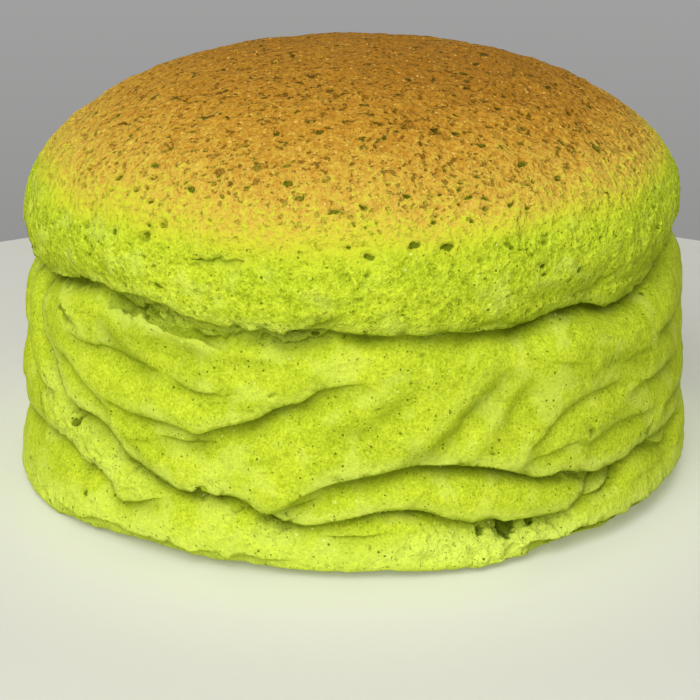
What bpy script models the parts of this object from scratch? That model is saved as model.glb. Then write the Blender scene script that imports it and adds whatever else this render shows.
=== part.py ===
"""A tall, soft souffle cheesecake, baked in one piece and turned out of its tin.

The cake is one turned body: a flat underside, a slightly tapering side and a domed
crown. Its side has settled after baking, so the crown sags over a crease that runs
all the way round, and the band below it has slumped into folds that overlap like
cloth. Units are metres, +Z is up, and the front of the cake faces -Y.
"""

import math
from dataclasses import dataclass

import bmesh
import bpy
import numpy as np

# Driving dimensions of the cake.
MM = 0.001
BASE_RADIUS = 75.0 * MM
HEIGHT = 90.5 * MM
CROWN_RADIUS = 71.5 * MM
CROWN_LEVEL = 53.5 * MM
CROWN_ROUNDNESS = 2.2
TAPER_POWER = 1.5
EDGE_ROUNDING = 2.5 * MM

# Slow unevenness of the side: how far it wanders, and how long and tall its bulges are.
SLUMP_DEPTH = 0.9 * MM
SLUMP_LENGTH = 24.0 * MM
SLUMP_TALLNESS = 13.0 * MM
SLUMP_SEED = 11

# The crown is smooth: the bulges of the side fade out over this much of it.
CROWN_FADE = 16.0 * MM

# The foot stands a little proud on the left and is lifted off the table on the right.
FOOT_FLARE = 1.3 * MM
FOOT_FLARE_AZIMUTH = math.radians(-85.0)
FOOT_FLARE_WIDTH = math.radians(34.0)
FOOT_HEIGHT = 8.0 * MM
LIFT_HEIGHT = 1.6 * MM
LIFT_AZIMUTH = math.radians(42.0)
LIFT_WIDTH = math.radians(14.0)
LIFT_REACH = 9.0 * MM

# Section of a fold. The crease closes within a share of the height of the roll above
# it, the roll hangs over it most at another share, and both end at a reach of so many
# of the fold's heights.
CREASE_SHARE = 0.30
CREASE_SHARPNESS = 1.3
HANG_SHARE = 0.35
FOLD_REACH = 5.0

# How finely the surface is worked out, and how many triangles are kept.
SPHERE_SUBDIVISIONS = 8
PROFILE_STEPS = 400
PATH_STEP = 2.0 * MM
SKIN_TRIANGLES = 9600
FLAT_WITHIN = 0.02 * MM


@dataclass(frozen=True)
class Fold:
    """One overlap of the side: the sponge above the line hangs over what is below.

    The line is given by points of azimuth in degrees (0 at the front, positive to
    the right), height in millimetres and depth of the crease in millimetres. The
    other sizes are millimetres too: how far the roll above the line stands out, how
    tall that roll is, and how far below the line the surface takes to come back.
    The overhang is a share of the depth.
    """

    line: tuple
    lip: float
    above: float
    below: float
    overhang: float = 0.4
    closed: bool = False


FOLDS = (
    # The crease under the crown, all round.
    Fold(
        line=(
            (-80, 45, 2.6), (-67, 49, 3.0), (-59, 49.5, 3.6), (-50, 49.5, 4.0), (-42, 49.5, 3.6),
            (-36, 46.5, 2.6), (-27, 45.5, 2.0), (-19, 46.5, 1.8), (-9, 45.5, 1.8), (0, 46.5, 1.6),
            (10, 46, 2.0), (20, 45, 3.0), (30, 46, 3.6), (35, 47.5, 4.0), (45, 45, 4.2),
            (56, 47, 4.2), (67, 50, 4.0), (78, 52, 3.4), (95, 50, 2.4), (112, 47, 3.0),
            (128, 48.5, 3.6), (145, 46, 2.8), (163, 47.5, 2.0), (180, 49, 2.6), (198, 47, 3.4),
            (215, 48.5, 3.8), (232, 46, 3.0), (250, 47.5, 2.2), (266, 46, 2.2),
        ),
        lip=0.7, above=6.5, below=4.5, overhang=0.45, closed=True,
    ),
    # The long edge of the middle band: down from the left, then along above the foot.
    Fold(
        line=(
            (-65, 44, 0), (-62, 40, 1.6), (-58, 33, 2.0), (-53, 27, 2.2), (-46, 23, 2.4),
            (-41, 21, 2.6), (-37, 17, 2.4), (-31, 14.5, 2.2), (-26, 12.5, 2.4), (-18, 13.5, 2.2),
            (-14, 11.5, 2.4), (-10, 8.5, 2.4), (-6, 8.5, 1.6), (0, 10.5, 1.8), (5, 12, 2.0),
            (10, 11, 2.2), (16, 8, 2.0), (22, 7, 1.6), (28, 7, 1.6), (34, 9, 2.0), (39, 9.5, 1.6),
            (43, 13, 0),
        ),
        lip=0.8, above=5.0, below=5.0, overhang=0.45,
    ),
    # The tucked strip at the front right, under the middle band.
    Fold(
        line=(
            (-12, 13.5, 0), (-6, 17, 1.4), (0, 19.5, 2.2), (8, 22, 2.8), (14, 21, 3.0),
            (22, 19.5, 3.0), (29, 17, 3.0), (36, 15, 2.8), (43, 13.5, 2.2), (50, 14.5, 2.4),
            (60, 14.5, 2.4), (70, 15, 2.0), (82, 17, 1.6), (94, 20, 0),
        ),
        lip=0.9, above=5.0, below=4.5, overhang=0.5,
    ),
    # The fold across the middle of the front.
    Fold(
        line=(
            (-27, 25, 0), (-22, 27, 1.6), (-15, 29.5, 2.0), (-10, 32.5, 2.0), (-5, 35, 1.6),
            (2, 37, 0),
        ),
        lip=0.6, above=4.0, below=5.0, overhang=0.35,
    ),
    # The second overlap at the lower left.
    Fold(
        line=(
            (-97, 19, 0), (-85, 15, 1.4), (-70, 14.5, 1.8), (-55, 15, 2.2), (-49, 13, 2.4),
            (-43, 11.5, 2.0), (-39, 8, 1.6), (-33, 8.5, 1.2), (-28, 10.5, 0),
        ),
        lip=0.6, above=4.0, below=4.5, overhang=0.4,
    ),
    # Softer creases on either side of the middle band.
    Fold(
        line=((-72, 33, 0), (-67, 29.5, 1.2), (-62, 25.5, 1.2), (-55, 24.5, 0)),
        lip=0.3, above=4.0, below=4.0, overhang=0.2,
    ),
    Fold(
        line=((7, 25, 0), (13, 27.5, 0.8), (17, 32, 0.9), (23, 37, 0)),
        lip=0.3, above=5.0, below=5.0, overhang=0.0,
    ),
    Fold(
        line=((27, 24, 0), (33, 28, 0.9), (39, 30.5, 0.9), (46, 30, 0)),
        lip=0.4, above=5.0, below=5.0, overhang=0.0,
    ),
    Fold(
        line=((50, 28.5, 0), (58, 28.5, 1.2), (66, 29, 1.4), (76, 27, 0)),
        lip=0.5, above=4.0, below=4.0, overhang=0.1,
    ),
    Fold(
        line=((58, 36.5, 0), (65, 37, 1.2), (73, 36.5, 1.2), (82, 38, 0)),
        lip=0.4, above=4.0, below=4.0, overhang=0.1,
    ),
    # The small flap of the crown at the left.
    Fold(
        line=((-76, 64, 0), (-67, 62, 0.9), (-63, 58, 1.3), (-61, 53, 1.4), (-57, 49.5, 0)),
        lip=0.4, above=3.5, below=4.0, overhang=0.2,
    ),
    # Overlaps round the back, of the same kind.
    Fold(
        line=(
            (84, 34, 0), (96, 29, 1.8), (108, 25, 2.4), (120, 19, 2.4), (131, 16, 2.2),
            (142, 11, 2.4), (152, 9, 1.8), (162, 11, 0),
        ),
        lip=0.8, above=5.0, below=5.0, overhang=0.45,
    ),
    Fold(
        line=(
            (138, 18, 0), (148, 21.5, 1.8), (160, 22.5, 2.6), (173, 20, 2.8), (186, 17, 2.6),
            (198, 13, 2.4), (212, 11.5, 2.2), (226, 13, 0),
        ),
        lip=0.9, above=5.0, below=4.5, overhang=0.5,
    ),
    Fold(
        line=(
            (196, 24, 0), (206, 27, 1.6), (218, 29, 2.2), (230, 33, 2.0), (241, 36.5, 1.6),
            (254, 38, 0),
        ),
        lip=0.7, above=4.5, below=5.0, overhang=0.4,
    ),
    Fold(
        line=(
            (222, 20, 0), (234, 21, 1.8), (246, 18, 2.4), (257, 13, 2.2), (268, 10, 1.6),
            (277, 11, 0),
        ),
        lip=0.7, above=4.5, below=4.5, overhang=0.45,
    ),
    Fold(
        line=((118, 33, 0), (130, 35, 1.4), (144, 33.5, 1.8), (157, 36, 1.4), (170, 35.5, 0)),
        lip=0.6, above=4.5, below=5.0, overhang=0.3,
    ),
    Fold(
        line=((86, 10, 0), (98, 8, 1.4), (110, 9, 1.6), (122, 8, 0)),
        lip=0.5, above=3.5, below=4.0, overhang=0.3,
    ),
)


def smoothstep(low, high, value):
    """Rise from 0 to 1 between two limits, with soft ends."""
    ramp = np.clip((value - low) / (high - low), 0.0, 1.0)
    return ramp * ramp * (3.0 - 2.0 * ramp)


def turned_profile():
    """Radius, height and running length of the outline, from the underside to the top."""
    turn = np.linspace(0.0, math.pi / 2.0, PROFILE_STEPS)
    flat_radius = np.linspace(0.0, BASE_RADIUS - EDGE_ROUNDING, PROFILE_STEPS)
    edge_radius = BASE_RADIUS - EDGE_ROUNDING * (1.0 - np.sin(turn))
    edge_height = EDGE_ROUNDING * (1.0 - np.cos(turn))
    side_height = np.linspace(EDGE_ROUNDING, CROWN_LEVEL, PROFILE_STEPS)
    rise = (side_height - EDGE_ROUNDING) / (CROWN_LEVEL - EDGE_ROUNDING)
    side_radius = BASE_RADIUS - (BASE_RADIUS - CROWN_RADIUS) * rise**TAPER_POWER
    bow = 2.0 / CROWN_ROUNDNESS
    crown_radius = CROWN_RADIUS * np.maximum(np.cos(turn), 0.0) ** bow
    crown_height = CROWN_LEVEL + (HEIGHT - CROWN_LEVEL) * np.sin(turn) ** bow
    radius = np.concatenate((flat_radius, edge_radius[1:], side_radius[1:], crown_radius[1:]))
    height = np.concatenate((flat_radius * 0.0, edge_height[1:], side_height[1:], crown_height[1:]))
    steps = np.hypot(np.diff(radius), np.diff(height))
    length = np.concatenate(([0.0], np.cumsum(steps)))
    return radius, height, length


def smooth_line(fold):
    """The fold's line as closely spaced points of girth, height and depth, in metres."""
    points = np.array(fold.line, dtype=float)
    girth = np.radians(points[:, 0]) * BASE_RADIUS
    control = np.column_stack((girth, points[:, 1] * MM, points[:, 2] * MM))
    if fold.closed:
        lap = np.array((2.0 * math.pi * BASE_RADIUS, 0.0, 0.0))
        control = np.vstack((control[-1] - lap, control, control[0] + lap, control[1] + lap))
    else:
        control = np.vstack((2 * control[0] - control[1], control, 2 * control[-1] - control[-2]))
    pieces = []
    for before, start, end, after in zip(control, control[1:], control[2:], control[3:]):
        count = max(2, int(np.linalg.norm(end[:2] - start[:2]) / PATH_STEP))
        step = np.linspace(0.0, 1.0, count, endpoint=False)[:, None]
        pieces.append(
            0.5 * (
                2.0 * start
                + (end - before) * step
                + (2.0 * before - 5.0 * start + 4.0 * end - after) * step**2
                + (3.0 * start - before - 3.0 * end + after) * step**3
            )
        )
    pieces.append(control[-2][None, :])
    line = np.vstack(pieces)
    line[:, 2] = np.maximum(line[:, 2], 0.0)
    return line


def measure_to_line(line, girth, height, reach):
    """Signed distance to a line, its depth there, and the direction across it.

    The distance is positive above the line. Beyond the reach it stays at the reach.
    """
    nearest = np.full(girth.shape, reach)
    depth = np.zeros(girth.shape)
    across = np.zeros((len(girth), 2))
    lap = 2.0 * math.pi * BASE_RADIUS
    for start, end in zip(line, line[1:]):
        run = end[:2] - start[:2]
        span = float(np.hypot(*run))
        if span < 1e-9:
            continue
        middle = 0.5 * (start[0] + end[0])
        offset = (girth - middle + 0.5 * lap) % lap - 0.5 * lap
        near = np.flatnonzero(np.abs(offset) < reach + span)
        x = offset[near] + middle - start[0]
        y = height[near] - start[1]
        along = np.clip((x * run[0] + y * run[1]) / span**2, 0.0, 1.0)
        gap = np.hypot(x - along * run[0], y - along * run[1])
        closer = gap < np.abs(nearest[near])
        chosen = near[closer]
        side = np.sign(run[0] * y[closer] - run[1] * x[closer])
        nearest[chosen] = gap[closer] * np.where(side == 0.0, 1.0, side)
        depth[chosen] = start[2] + along[closer] * (end[2] - start[2])
        across[chosen] = np.array((-run[1], run[0])) / span
    return nearest, depth, across


def fold_offsets(fold, girth, height):
    """How far one fold moves the surface outwards, and along it (girth and height)."""
    above = fold.above * MM
    below = fold.below * MM
    reach = FOLD_REACH * max(above, below)
    distance, depth, across = measure_to_line(smooth_line(fold), girth, height, reach)
    up = np.maximum(distance, 0.0)
    down = np.maximum(-distance, 0.0)
    share = depth / max(point[2] * MM for point in fold.line)
    closing = np.exp(-((up / (CREASE_SHARE * above)) ** CREASE_SHARPNESS))
    valley = np.where(distance > 0.0, closing, np.exp(-down / below))
    roll = (up / above) * np.exp(1.0 - up / above)
    fade = 1.0 - smoothstep(0.7 * reach, reach, np.abs(distance))
    outwards = (fold.lip * MM * share * roll - depth * valley) * fade
    hang = np.exp(-((distance / (HANG_SHARE * above) - 1.0) ** 2))
    slide = -fold.overhang * depth * hang * fade
    return outwards, across * slide[:, None]


def slump(girth, rise):
    """Slow rise and fall of the whole side: random bulges, blended smoothly."""
    lap = 2.0 * math.pi * BASE_RADIUS
    columns = round(lap / SLUMP_LENGTH)
    rows = math.ceil(2.0 * HEIGHT / SLUMP_TALLNESS) + 3
    bulges = np.random.default_rng(SLUMP_SEED).uniform(-1.0, 1.0, (columns, rows))
    across = girth / lap * columns
    up = np.clip(rise / SLUMP_TALLNESS + 1.0, 0.0, rows - 2.0)
    column = np.floor(across).astype(int)
    row = np.floor(up).astype(int)
    blend_across = smoothstep(0.0, 1.0, across - column)
    blend_up = smoothstep(0.0, 1.0, up - row)
    left = column % columns
    right = (column + 1) % columns
    lower = bulges[left, row] * (1.0 - blend_across) + bulges[right, row] * blend_across
    upper = bulges[left, row + 1] * (1.0 - blend_across) + bulges[right, row + 1] * blend_across
    return SLUMP_DEPTH * (lower * (1.0 - blend_up) + upper * blend_up)


def cake_surface(direction):
    """Place points of the cake's skin for directions from its middle.

    The way down or up from the middle chooses the place along the outline, and the
    way round chooses the azimuth.
    """
    radius, height, length = turned_profile()
    azimuth = np.arctan2(direction[:, 0], -direction[:, 1])
    climb = np.arccos(np.clip(-direction[:, 2], -1.0, 1.0)) / math.pi * length[-1]
    r = np.interp(climb, length, radius)
    z = np.interp(climb, length, height)
    slope_r = np.gradient(radius, length)
    slope_z = np.gradient(height, length)
    normal_r = np.interp(climb, length, slope_z)
    normal_z = -np.interp(climb, length, slope_r)

    girth = azimuth * BASE_RADIUS
    side_start = length[np.argmax(height > 0.0)]
    rise = climb - side_start
    side = smoothstep(0.0, EDGE_ROUNDING, rise)
    crown = smoothstep(CROWN_LEVEL, CROWN_LEVEL + CROWN_FADE, rise)
    outwards = slump(girth, rise) * side * (1.0 - crown)
    around = np.zeros(len(r))
    upwards = np.zeros(len(r))
    for fold in FOLDS:
        push, slide = fold_offsets(fold, girth, rise)
        outwards += push * side
        around += slide[:, 0] * side
        upwards += slide[:, 1] * side

    turn_from_flare = np.arctan2(
        np.sin(azimuth - FOOT_FLARE_AZIMUTH), np.cos(azimuth - FOOT_FLARE_AZIMUTH)
    )
    foot = np.exp(-((rise / FOOT_HEIGHT) ** 2)) * side
    outwards += FOOT_FLARE * foot * np.exp(-((turn_from_flare / FOOT_FLARE_WIDTH) ** 2))

    lift = np.exp(-(((azimuth - LIFT_AZIMUTH) / LIFT_WIDTH) ** 2))
    lift *= smoothstep(BASE_RADIUS - LIFT_REACH, BASE_RADIUS, r)
    lift *= 1.0 - smoothstep(0.0, FOOT_HEIGHT, z)

    placed_r = r + outwards * normal_r - upwards * normal_z
    placed_z = z + outwards * normal_z + upwards * normal_r + LIFT_HEIGHT * lift
    placed_azimuth = azimuth + around / BASE_RADIUS
    return np.column_stack(
        (placed_r * np.sin(placed_azimuth), -placed_r * np.cos(placed_azimuth), placed_z)
    )


def clear_scene():
    """Remove every object that is in the scene."""
    for item in list(bpy.data.objects):
        bpy.data.objects.remove(item, do_unlink=True)


def sponge_material():
    """Soft green sponge; the browned top is a matter of finish, not of shape."""
    material = bpy.data.materials.new("green_sponge")
    material.use_nodes = True
    shader = material.node_tree.nodes["Principled BSDF"]
    shader.inputs["Base Color"].default_value = (0.46, 0.60, 0.03, 1.0)
    shader.inputs["Roughness"].default_value = 0.85
    shader.inputs["Metallic"].default_value = 0.0
    return material


def mould_skin():
    """Build the skin of the cake on a fine sphere of points, open where it rests."""
    length = turned_profile()[2]
    flat_share = (BASE_RADIUS - EDGE_ROUNDING) / length[-1]
    mould = bmesh.new()
    bmesh.ops.create_icosphere(mould, subdivisions=SPHERE_SUBDIVISIONS, radius=1.0)
    bmesh.ops.bisect_plane(
        mould,
        geom=mould.verts[:] + mould.edges[:] + mould.faces[:],
        plane_co=(0.0, 0.0, -math.cos(math.pi * flat_share)),
        plane_no=(0.0, 0.0, 1.0),
        clear_inner=True,
    )
    mesh = bpy.data.meshes.new("cake")
    mould.to_mesh(mesh)
    mould.free()
    direction = np.empty(len(mesh.vertices) * 3)
    mesh.vertices.foreach_get("co", direction)
    direction = direction.reshape(-1, 3)
    direction /= np.linalg.norm(direction, axis=1)[:, None]
    mesh.vertices.foreach_set("co", cake_surface(direction).ravel())
    mesh.update()
    return mesh


def thin_out(cake):
    """Keep the triangles where the surface bends."""
    decimate = cake.modifiers.new("Thin out", "DECIMATE")
    decimate.ratio = SKIN_TRIANGLES / len(cake.data.polygons)
    depsgraph = bpy.context.evaluated_depsgraph_get()
    thinned = bpy.data.meshes.new_from_object(cake.evaluated_get(depsgraph))
    cake.modifiers.clear()
    cake.data = thinned


def close_underside(mesh):
    """Close the skin with one flat face that the cake rests on, and centre the cake."""
    skin = bmesh.new()
    skin.from_mesh(mesh)
    rim = [edge for edge in skin.edges if edge.is_boundary]
    for point in skin.verts:
        if point.co.z < FLAT_WITHIN:
            point.co.z = 0.0
    inset = bmesh.ops.extrude_edge_only(skin, edges=rim)["geom"]
    inner = [item for item in inset if isinstance(item, bmesh.types.BMVert)]
    shrink = (BASE_RADIUS - LIFT_REACH) / BASE_RADIUS
    bmesh.ops.scale(skin, vec=(shrink, shrink, 0.0), verts=inner)
    gap = [edge for edge in skin.edges if edge.is_boundary]
    bmesh.ops.holes_fill(skin, edges=gap, sides=0)
    bmesh.ops.recalc_face_normals(skin, faces=skin.faces)
    places = np.array([point.co[:] for point in skin.verts])
    middle = 0.5 * (places.min(axis=0) + places.max(axis=0))
    bmesh.ops.translate(skin, verts=skin.verts, vec=(-middle[0], -middle[1], 0.0))
    skin.to_mesh(mesh)
    skin.free()


def main():
    """Build the cake in a collection of its own."""
    clear_scene()
    collection = bpy.data.collections.new("jiggly_cheesecake")
    bpy.context.scene.collection.children.link(collection)
    cake = bpy.data.objects.new("cake", mould_skin())
    collection.objects.link(cake)
    thin_out(cake)
    close_underside(cake.data)
    cake.data.materials.append(sponge_material())
    cake.data.shade_smooth()


main()
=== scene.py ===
"""Looks of a tall souffle cheesecake: folded green sponge under a browned, porous crown."""

import logging
import math
from dataclasses import dataclass
from enum import Enum
from typing import Callable, Iterator, Sequence

import bmesh
import bpy
import numpy as np
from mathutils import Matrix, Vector
from mathutils.kdtree import KDTree


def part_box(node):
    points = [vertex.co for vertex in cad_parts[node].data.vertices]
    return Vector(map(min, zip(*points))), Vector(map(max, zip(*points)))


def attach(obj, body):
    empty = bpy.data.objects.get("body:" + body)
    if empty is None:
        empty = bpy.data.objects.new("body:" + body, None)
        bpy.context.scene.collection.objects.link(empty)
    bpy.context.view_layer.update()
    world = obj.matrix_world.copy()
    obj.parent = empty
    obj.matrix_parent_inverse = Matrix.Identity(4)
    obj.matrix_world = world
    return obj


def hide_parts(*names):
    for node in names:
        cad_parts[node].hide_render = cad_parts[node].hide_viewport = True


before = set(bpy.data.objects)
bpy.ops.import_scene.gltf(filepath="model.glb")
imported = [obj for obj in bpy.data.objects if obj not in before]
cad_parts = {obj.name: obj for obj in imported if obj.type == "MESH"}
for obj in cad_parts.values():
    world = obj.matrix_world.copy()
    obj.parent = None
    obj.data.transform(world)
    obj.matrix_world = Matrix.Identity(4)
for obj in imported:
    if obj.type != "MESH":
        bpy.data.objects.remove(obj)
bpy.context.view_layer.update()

LOG = logging.getLogger("cheesecake")
MM = 0.001
BODY = "root"
CAKE_NODE = "cake"
TABLE_SHARE = 2.77
TINY = 1e-12
LEAST_NORM = 1e-9
# Marks the mesh carries for its finish. crease is painted shade in the creases, rim a painted highlight along
# hanging edges, and under painted shade on surfaces that face down.
MARKS = ("browning", "crown", "pore", "crease", "torn", "foot", "rim", "under")

Array = np.ndarray
Colour = tuple[float, float, float]
Vector3 = tuple[float, float, float]


# ---------------------------------------------------------------- numbers and noise


def smoothstep(low: float, high: float, value: Array) -> Array:
    """Rise from 0 to 1 between two limits, with soft ends.

    Args:
        low: Where the rise starts.
        high: Where it ends.
        value: The values to grade.

    Returns:
        The grades, from 0 to 1.
    """
    ramp = np.clip((value - low) / (high - low), 0.0, 1.0)
    return ramp * ramp * (3.0 - 2.0 * ramp)


def angle_between(azimuth: Array, middle: float) -> Array:
    """Give the turn from one azimuth to others, from -pi to pi."""
    return np.arctan2(np.sin(azimuth - middle), np.cos(azimuth - middle))


def turned(radius: Array, azimuth: Array, height: Array) -> Array:
    """Place points round the upright axis, with azimuth 0 at the front."""
    return np.column_stack((radius * np.sin(azimuth), -radius * np.cos(azimuth), height))


def rows_of(elements: bpy.types.bpy_prop_collection, name: str) -> Array:
    """Read a value of three numbers from each element of a mesh.

    Args:
        elements: The mesh's points, or an attribute's data.
        name: The value's name.

    Returns:
        The values, one to a row.
    """
    flat = np.empty(len(elements) * 3)
    elements.foreach_get(name, flat)
    return flat.reshape(-1, 3)


class SoftNoise:
    """Smooth random values that fill space, from -1 to 1."""

    LATTICE = 64
    LAYER_SHIFT = 17.3
    LAYER_SUM = 1.6

    def __init__(self, seed: int) -> None:
        """Draw the lattice.

        Args:
            seed: Chooses the random values.
        """
        shape = (self.LATTICE,) * 3
        self.values = np.random.default_rng(seed).uniform(-1.0, 1.0, shape)

    def at(self, places: Array, size: float, stretch: Sequence[float] = (1, 1, 1)) -> Array:
        """Read the noise.

        Args:
            places: Points, one to a row.
            size: Distance between lattice points, in the points' unit.
            stretch: How many times longer the features are along each axis.

        Returns:
            One value for each point.
        """
        scaled = places / (size * np.asarray(stretch, dtype=float))
        base = np.floor(scaled)
        part = scaled - base
        part = part * part * (3.0 - 2.0 * part)
        low = base.astype(np.int64) % self.LATTICE
        high = (low + 1) % self.LATTICE
        total = np.zeros(len(places))
        for corner in range(8):
            sides = [(corner >> axis) & 1 for axis in range(3)]
            index = [high[:, axis] if side else low[:, axis] for axis, side in enumerate(sides)]
            weight = np.ones(len(places))
            for axis, side in enumerate(sides):
                weight *= part[:, axis] if side else 1.0 - part[:, axis]
            total += weight * self.values[tuple(index)]
        return total

    def layered(self, places: Array, size: float, layers: int = 3) -> Array:
        """Add finer and fainter layers of the noise to each other.

        Args:
            places: Points, one to a row.
            size: Distance between lattice points in the coarsest layer.
            layers: How many layers.

        Returns:
            One value for each point, about as large as the noise alone.
        """
        total = np.zeros(len(places))
        for layer in range(layers):
            shifted = places + self.LAYER_SHIFT * size * layer
            total += self.at(shifted, size / 2.0**layer) / 2.0**layer
        return total / self.LAYER_SUM


# ---------------------------------------------------------------- shape of the cake


@dataclass(frozen=True)
class Outline:
    """The turned outline of the cake, from the middle of its underside to its top.

    All sizes are in metres. The roundness and the taper are powers.
    """

    height: float
    base_radius: float = 75.0 * MM
    crown_radius: float = 71.5 * MM
    crown_level: float = 53.5 * MM
    roundness: float = 2.2
    taper: float = 1.5
    edge: float = 0.7 * MM
    steps: int = 400

    def curve(self) -> tuple[Array, Array, Array]:
        """Work out the outline.

        Returns:
            Radius, height and running length at closely spaced points.
        """
        turn = np.linspace(0.0, math.pi / 2.0, self.steps)
        flat = np.linspace(0.0, self.base_radius - self.edge, self.steps)
        edge_radius = self.base_radius - self.edge * (1.0 - np.sin(turn))
        edge_height = self.edge * (1.0 - np.cos(turn))
        side_height = np.linspace(self.edge, self.crown_level, self.steps)
        rise = (side_height - self.edge) / (self.crown_level - self.edge)
        side_radius = self.base_radius - (self.base_radius - self.crown_radius) * rise**self.taper
        bow = 2.0 / self.roundness
        crown_radius = self.crown_radius * np.maximum(np.cos(turn), 0.0) ** bow
        crown_height = self.crown_level + (self.height - self.crown_level) * np.sin(turn) ** bow
        radius = np.concatenate((flat, edge_radius[1:], side_radius[1:], crown_radius[1:]))
        height = np.concatenate((flat * 0.0, edge_height[1:], side_height[1:], crown_height[1:]))
        length = np.concatenate(([0.0], np.cumsum(np.hypot(np.diff(radius), np.diff(height)))))
        return radius, height, length

    def side_start(self) -> float:
        """Give the running length at which the side begins."""
        _, height, length = self.curve()
        return float(length[np.argmax(height > 0.0)])

    def whole(self) -> float:
        """Give the running length from the middle of the underside to the top."""
        return float(self.curve()[2][-1])


class Section(Enum):
    """Cross-sections of a fold, in millimetres.

    Each holds how far the roll above stands out, how tall it is, how far below the
    line the surface takes to come back, how thick the hanging edge is, over what
    distance that edge rounds off, how much of the depth is rounded, how far the edge
    hangs over, as a share of the depth, and how far its painted shade reaches below it.
    """

    CROWN = (2.1, 10.0, 3.2, 0.6, 6.0, 0.55, 0.75, 1.3)
    OVERLAP = (0.8, 5.0, 2.4, 0.5, 1.4, 0.20, 0.90, 1.3)
    TUCK = (0.6, 5.0, 2.4, 0.5, 1.0, 0.12, 0.95, 1.3)
    SHEET = (0.3, 3.0, 1.8, 0.3, 0.6, 0.08, 0.80, 1.2)
    LAP = (0.6, 5.0, 2.6, 0.6, 2.2, 0.40, 0.65, 1.3)
    CREASE = (0.4, 4.0, 2.2, 0.8, 2.0, 0.50, 0.40, 1.3)
    WRINKLE = (0.2, 2.5, 1.4, 0.5, 1.0, 0.40, 0.30, 1.2)
    RIM = (0.2, 2.0, 8.0, 0.4, 0.5, 0.10, 0.30, 6.0)
    HOLLOW = (0.7, 6.5, 6.5, 3.0, 4.0, 0.60, 0.0, 1.6)


@dataclass(frozen=True)
class Fold:
    """One fold of the side: the sponge on one side of its line hangs over the other.

    The line runs through points of azimuth in degrees (0 at the front, positive to
    the right), height in millimetres and depth in millimetres. What lies to the left
    of the line, looked at along it, is the part that hangs over.
    """

    section: Section
    line: tuple[Vector3, ...]
    closed: bool = False
    ragged: float = 0.25

    def deepest(self) -> float:
        """Give the largest depth on the line, in metres."""
        return max(point[2] for point in self.line) * MM


CROWN_CREASE = Fold(Section.CROWN, (
    (-80, 47, 4.2), (-67, 49, 4.8), (-60, 49.4, 5), (-52, 49.9, 4.6), (-46, 50.4, 3.2), (-40, 49.6, 2.2),
    (-33, 50, 1.8), (-27, 48, 1.6), (-20, 47, 1.8), (-12, 46.8, 2.2), (-4, 47.3, 2.4), (4, 46.6, 2.4),
    (13, 45.6, 3), (20, 45.3, 3.9), (27, 45.7, 5), (34, 47.5, 5.6), (39, 47.4, 5.8), (45, 45.6, 5.8),
    (51, 45.7, 5.8), (57, 47.3, 5.8), (63, 49.2, 5.6), (69, 51.4, 5.2), (76, 53.4, 4.2), (86, 53, 3),
    (100, 50, 2.6), (115, 47, 3.2), (130, 48.5, 3.6), (147, 46, 3.1), (165, 47.5, 2.5), (182, 49, 2.8),
    (200, 47, 3.5), (217, 48.5, 3.7), (234, 46, 3.2), (252, 47.5, 2.7), (267, 46, 2.8),
), closed=True, ragged=0.4)

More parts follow.
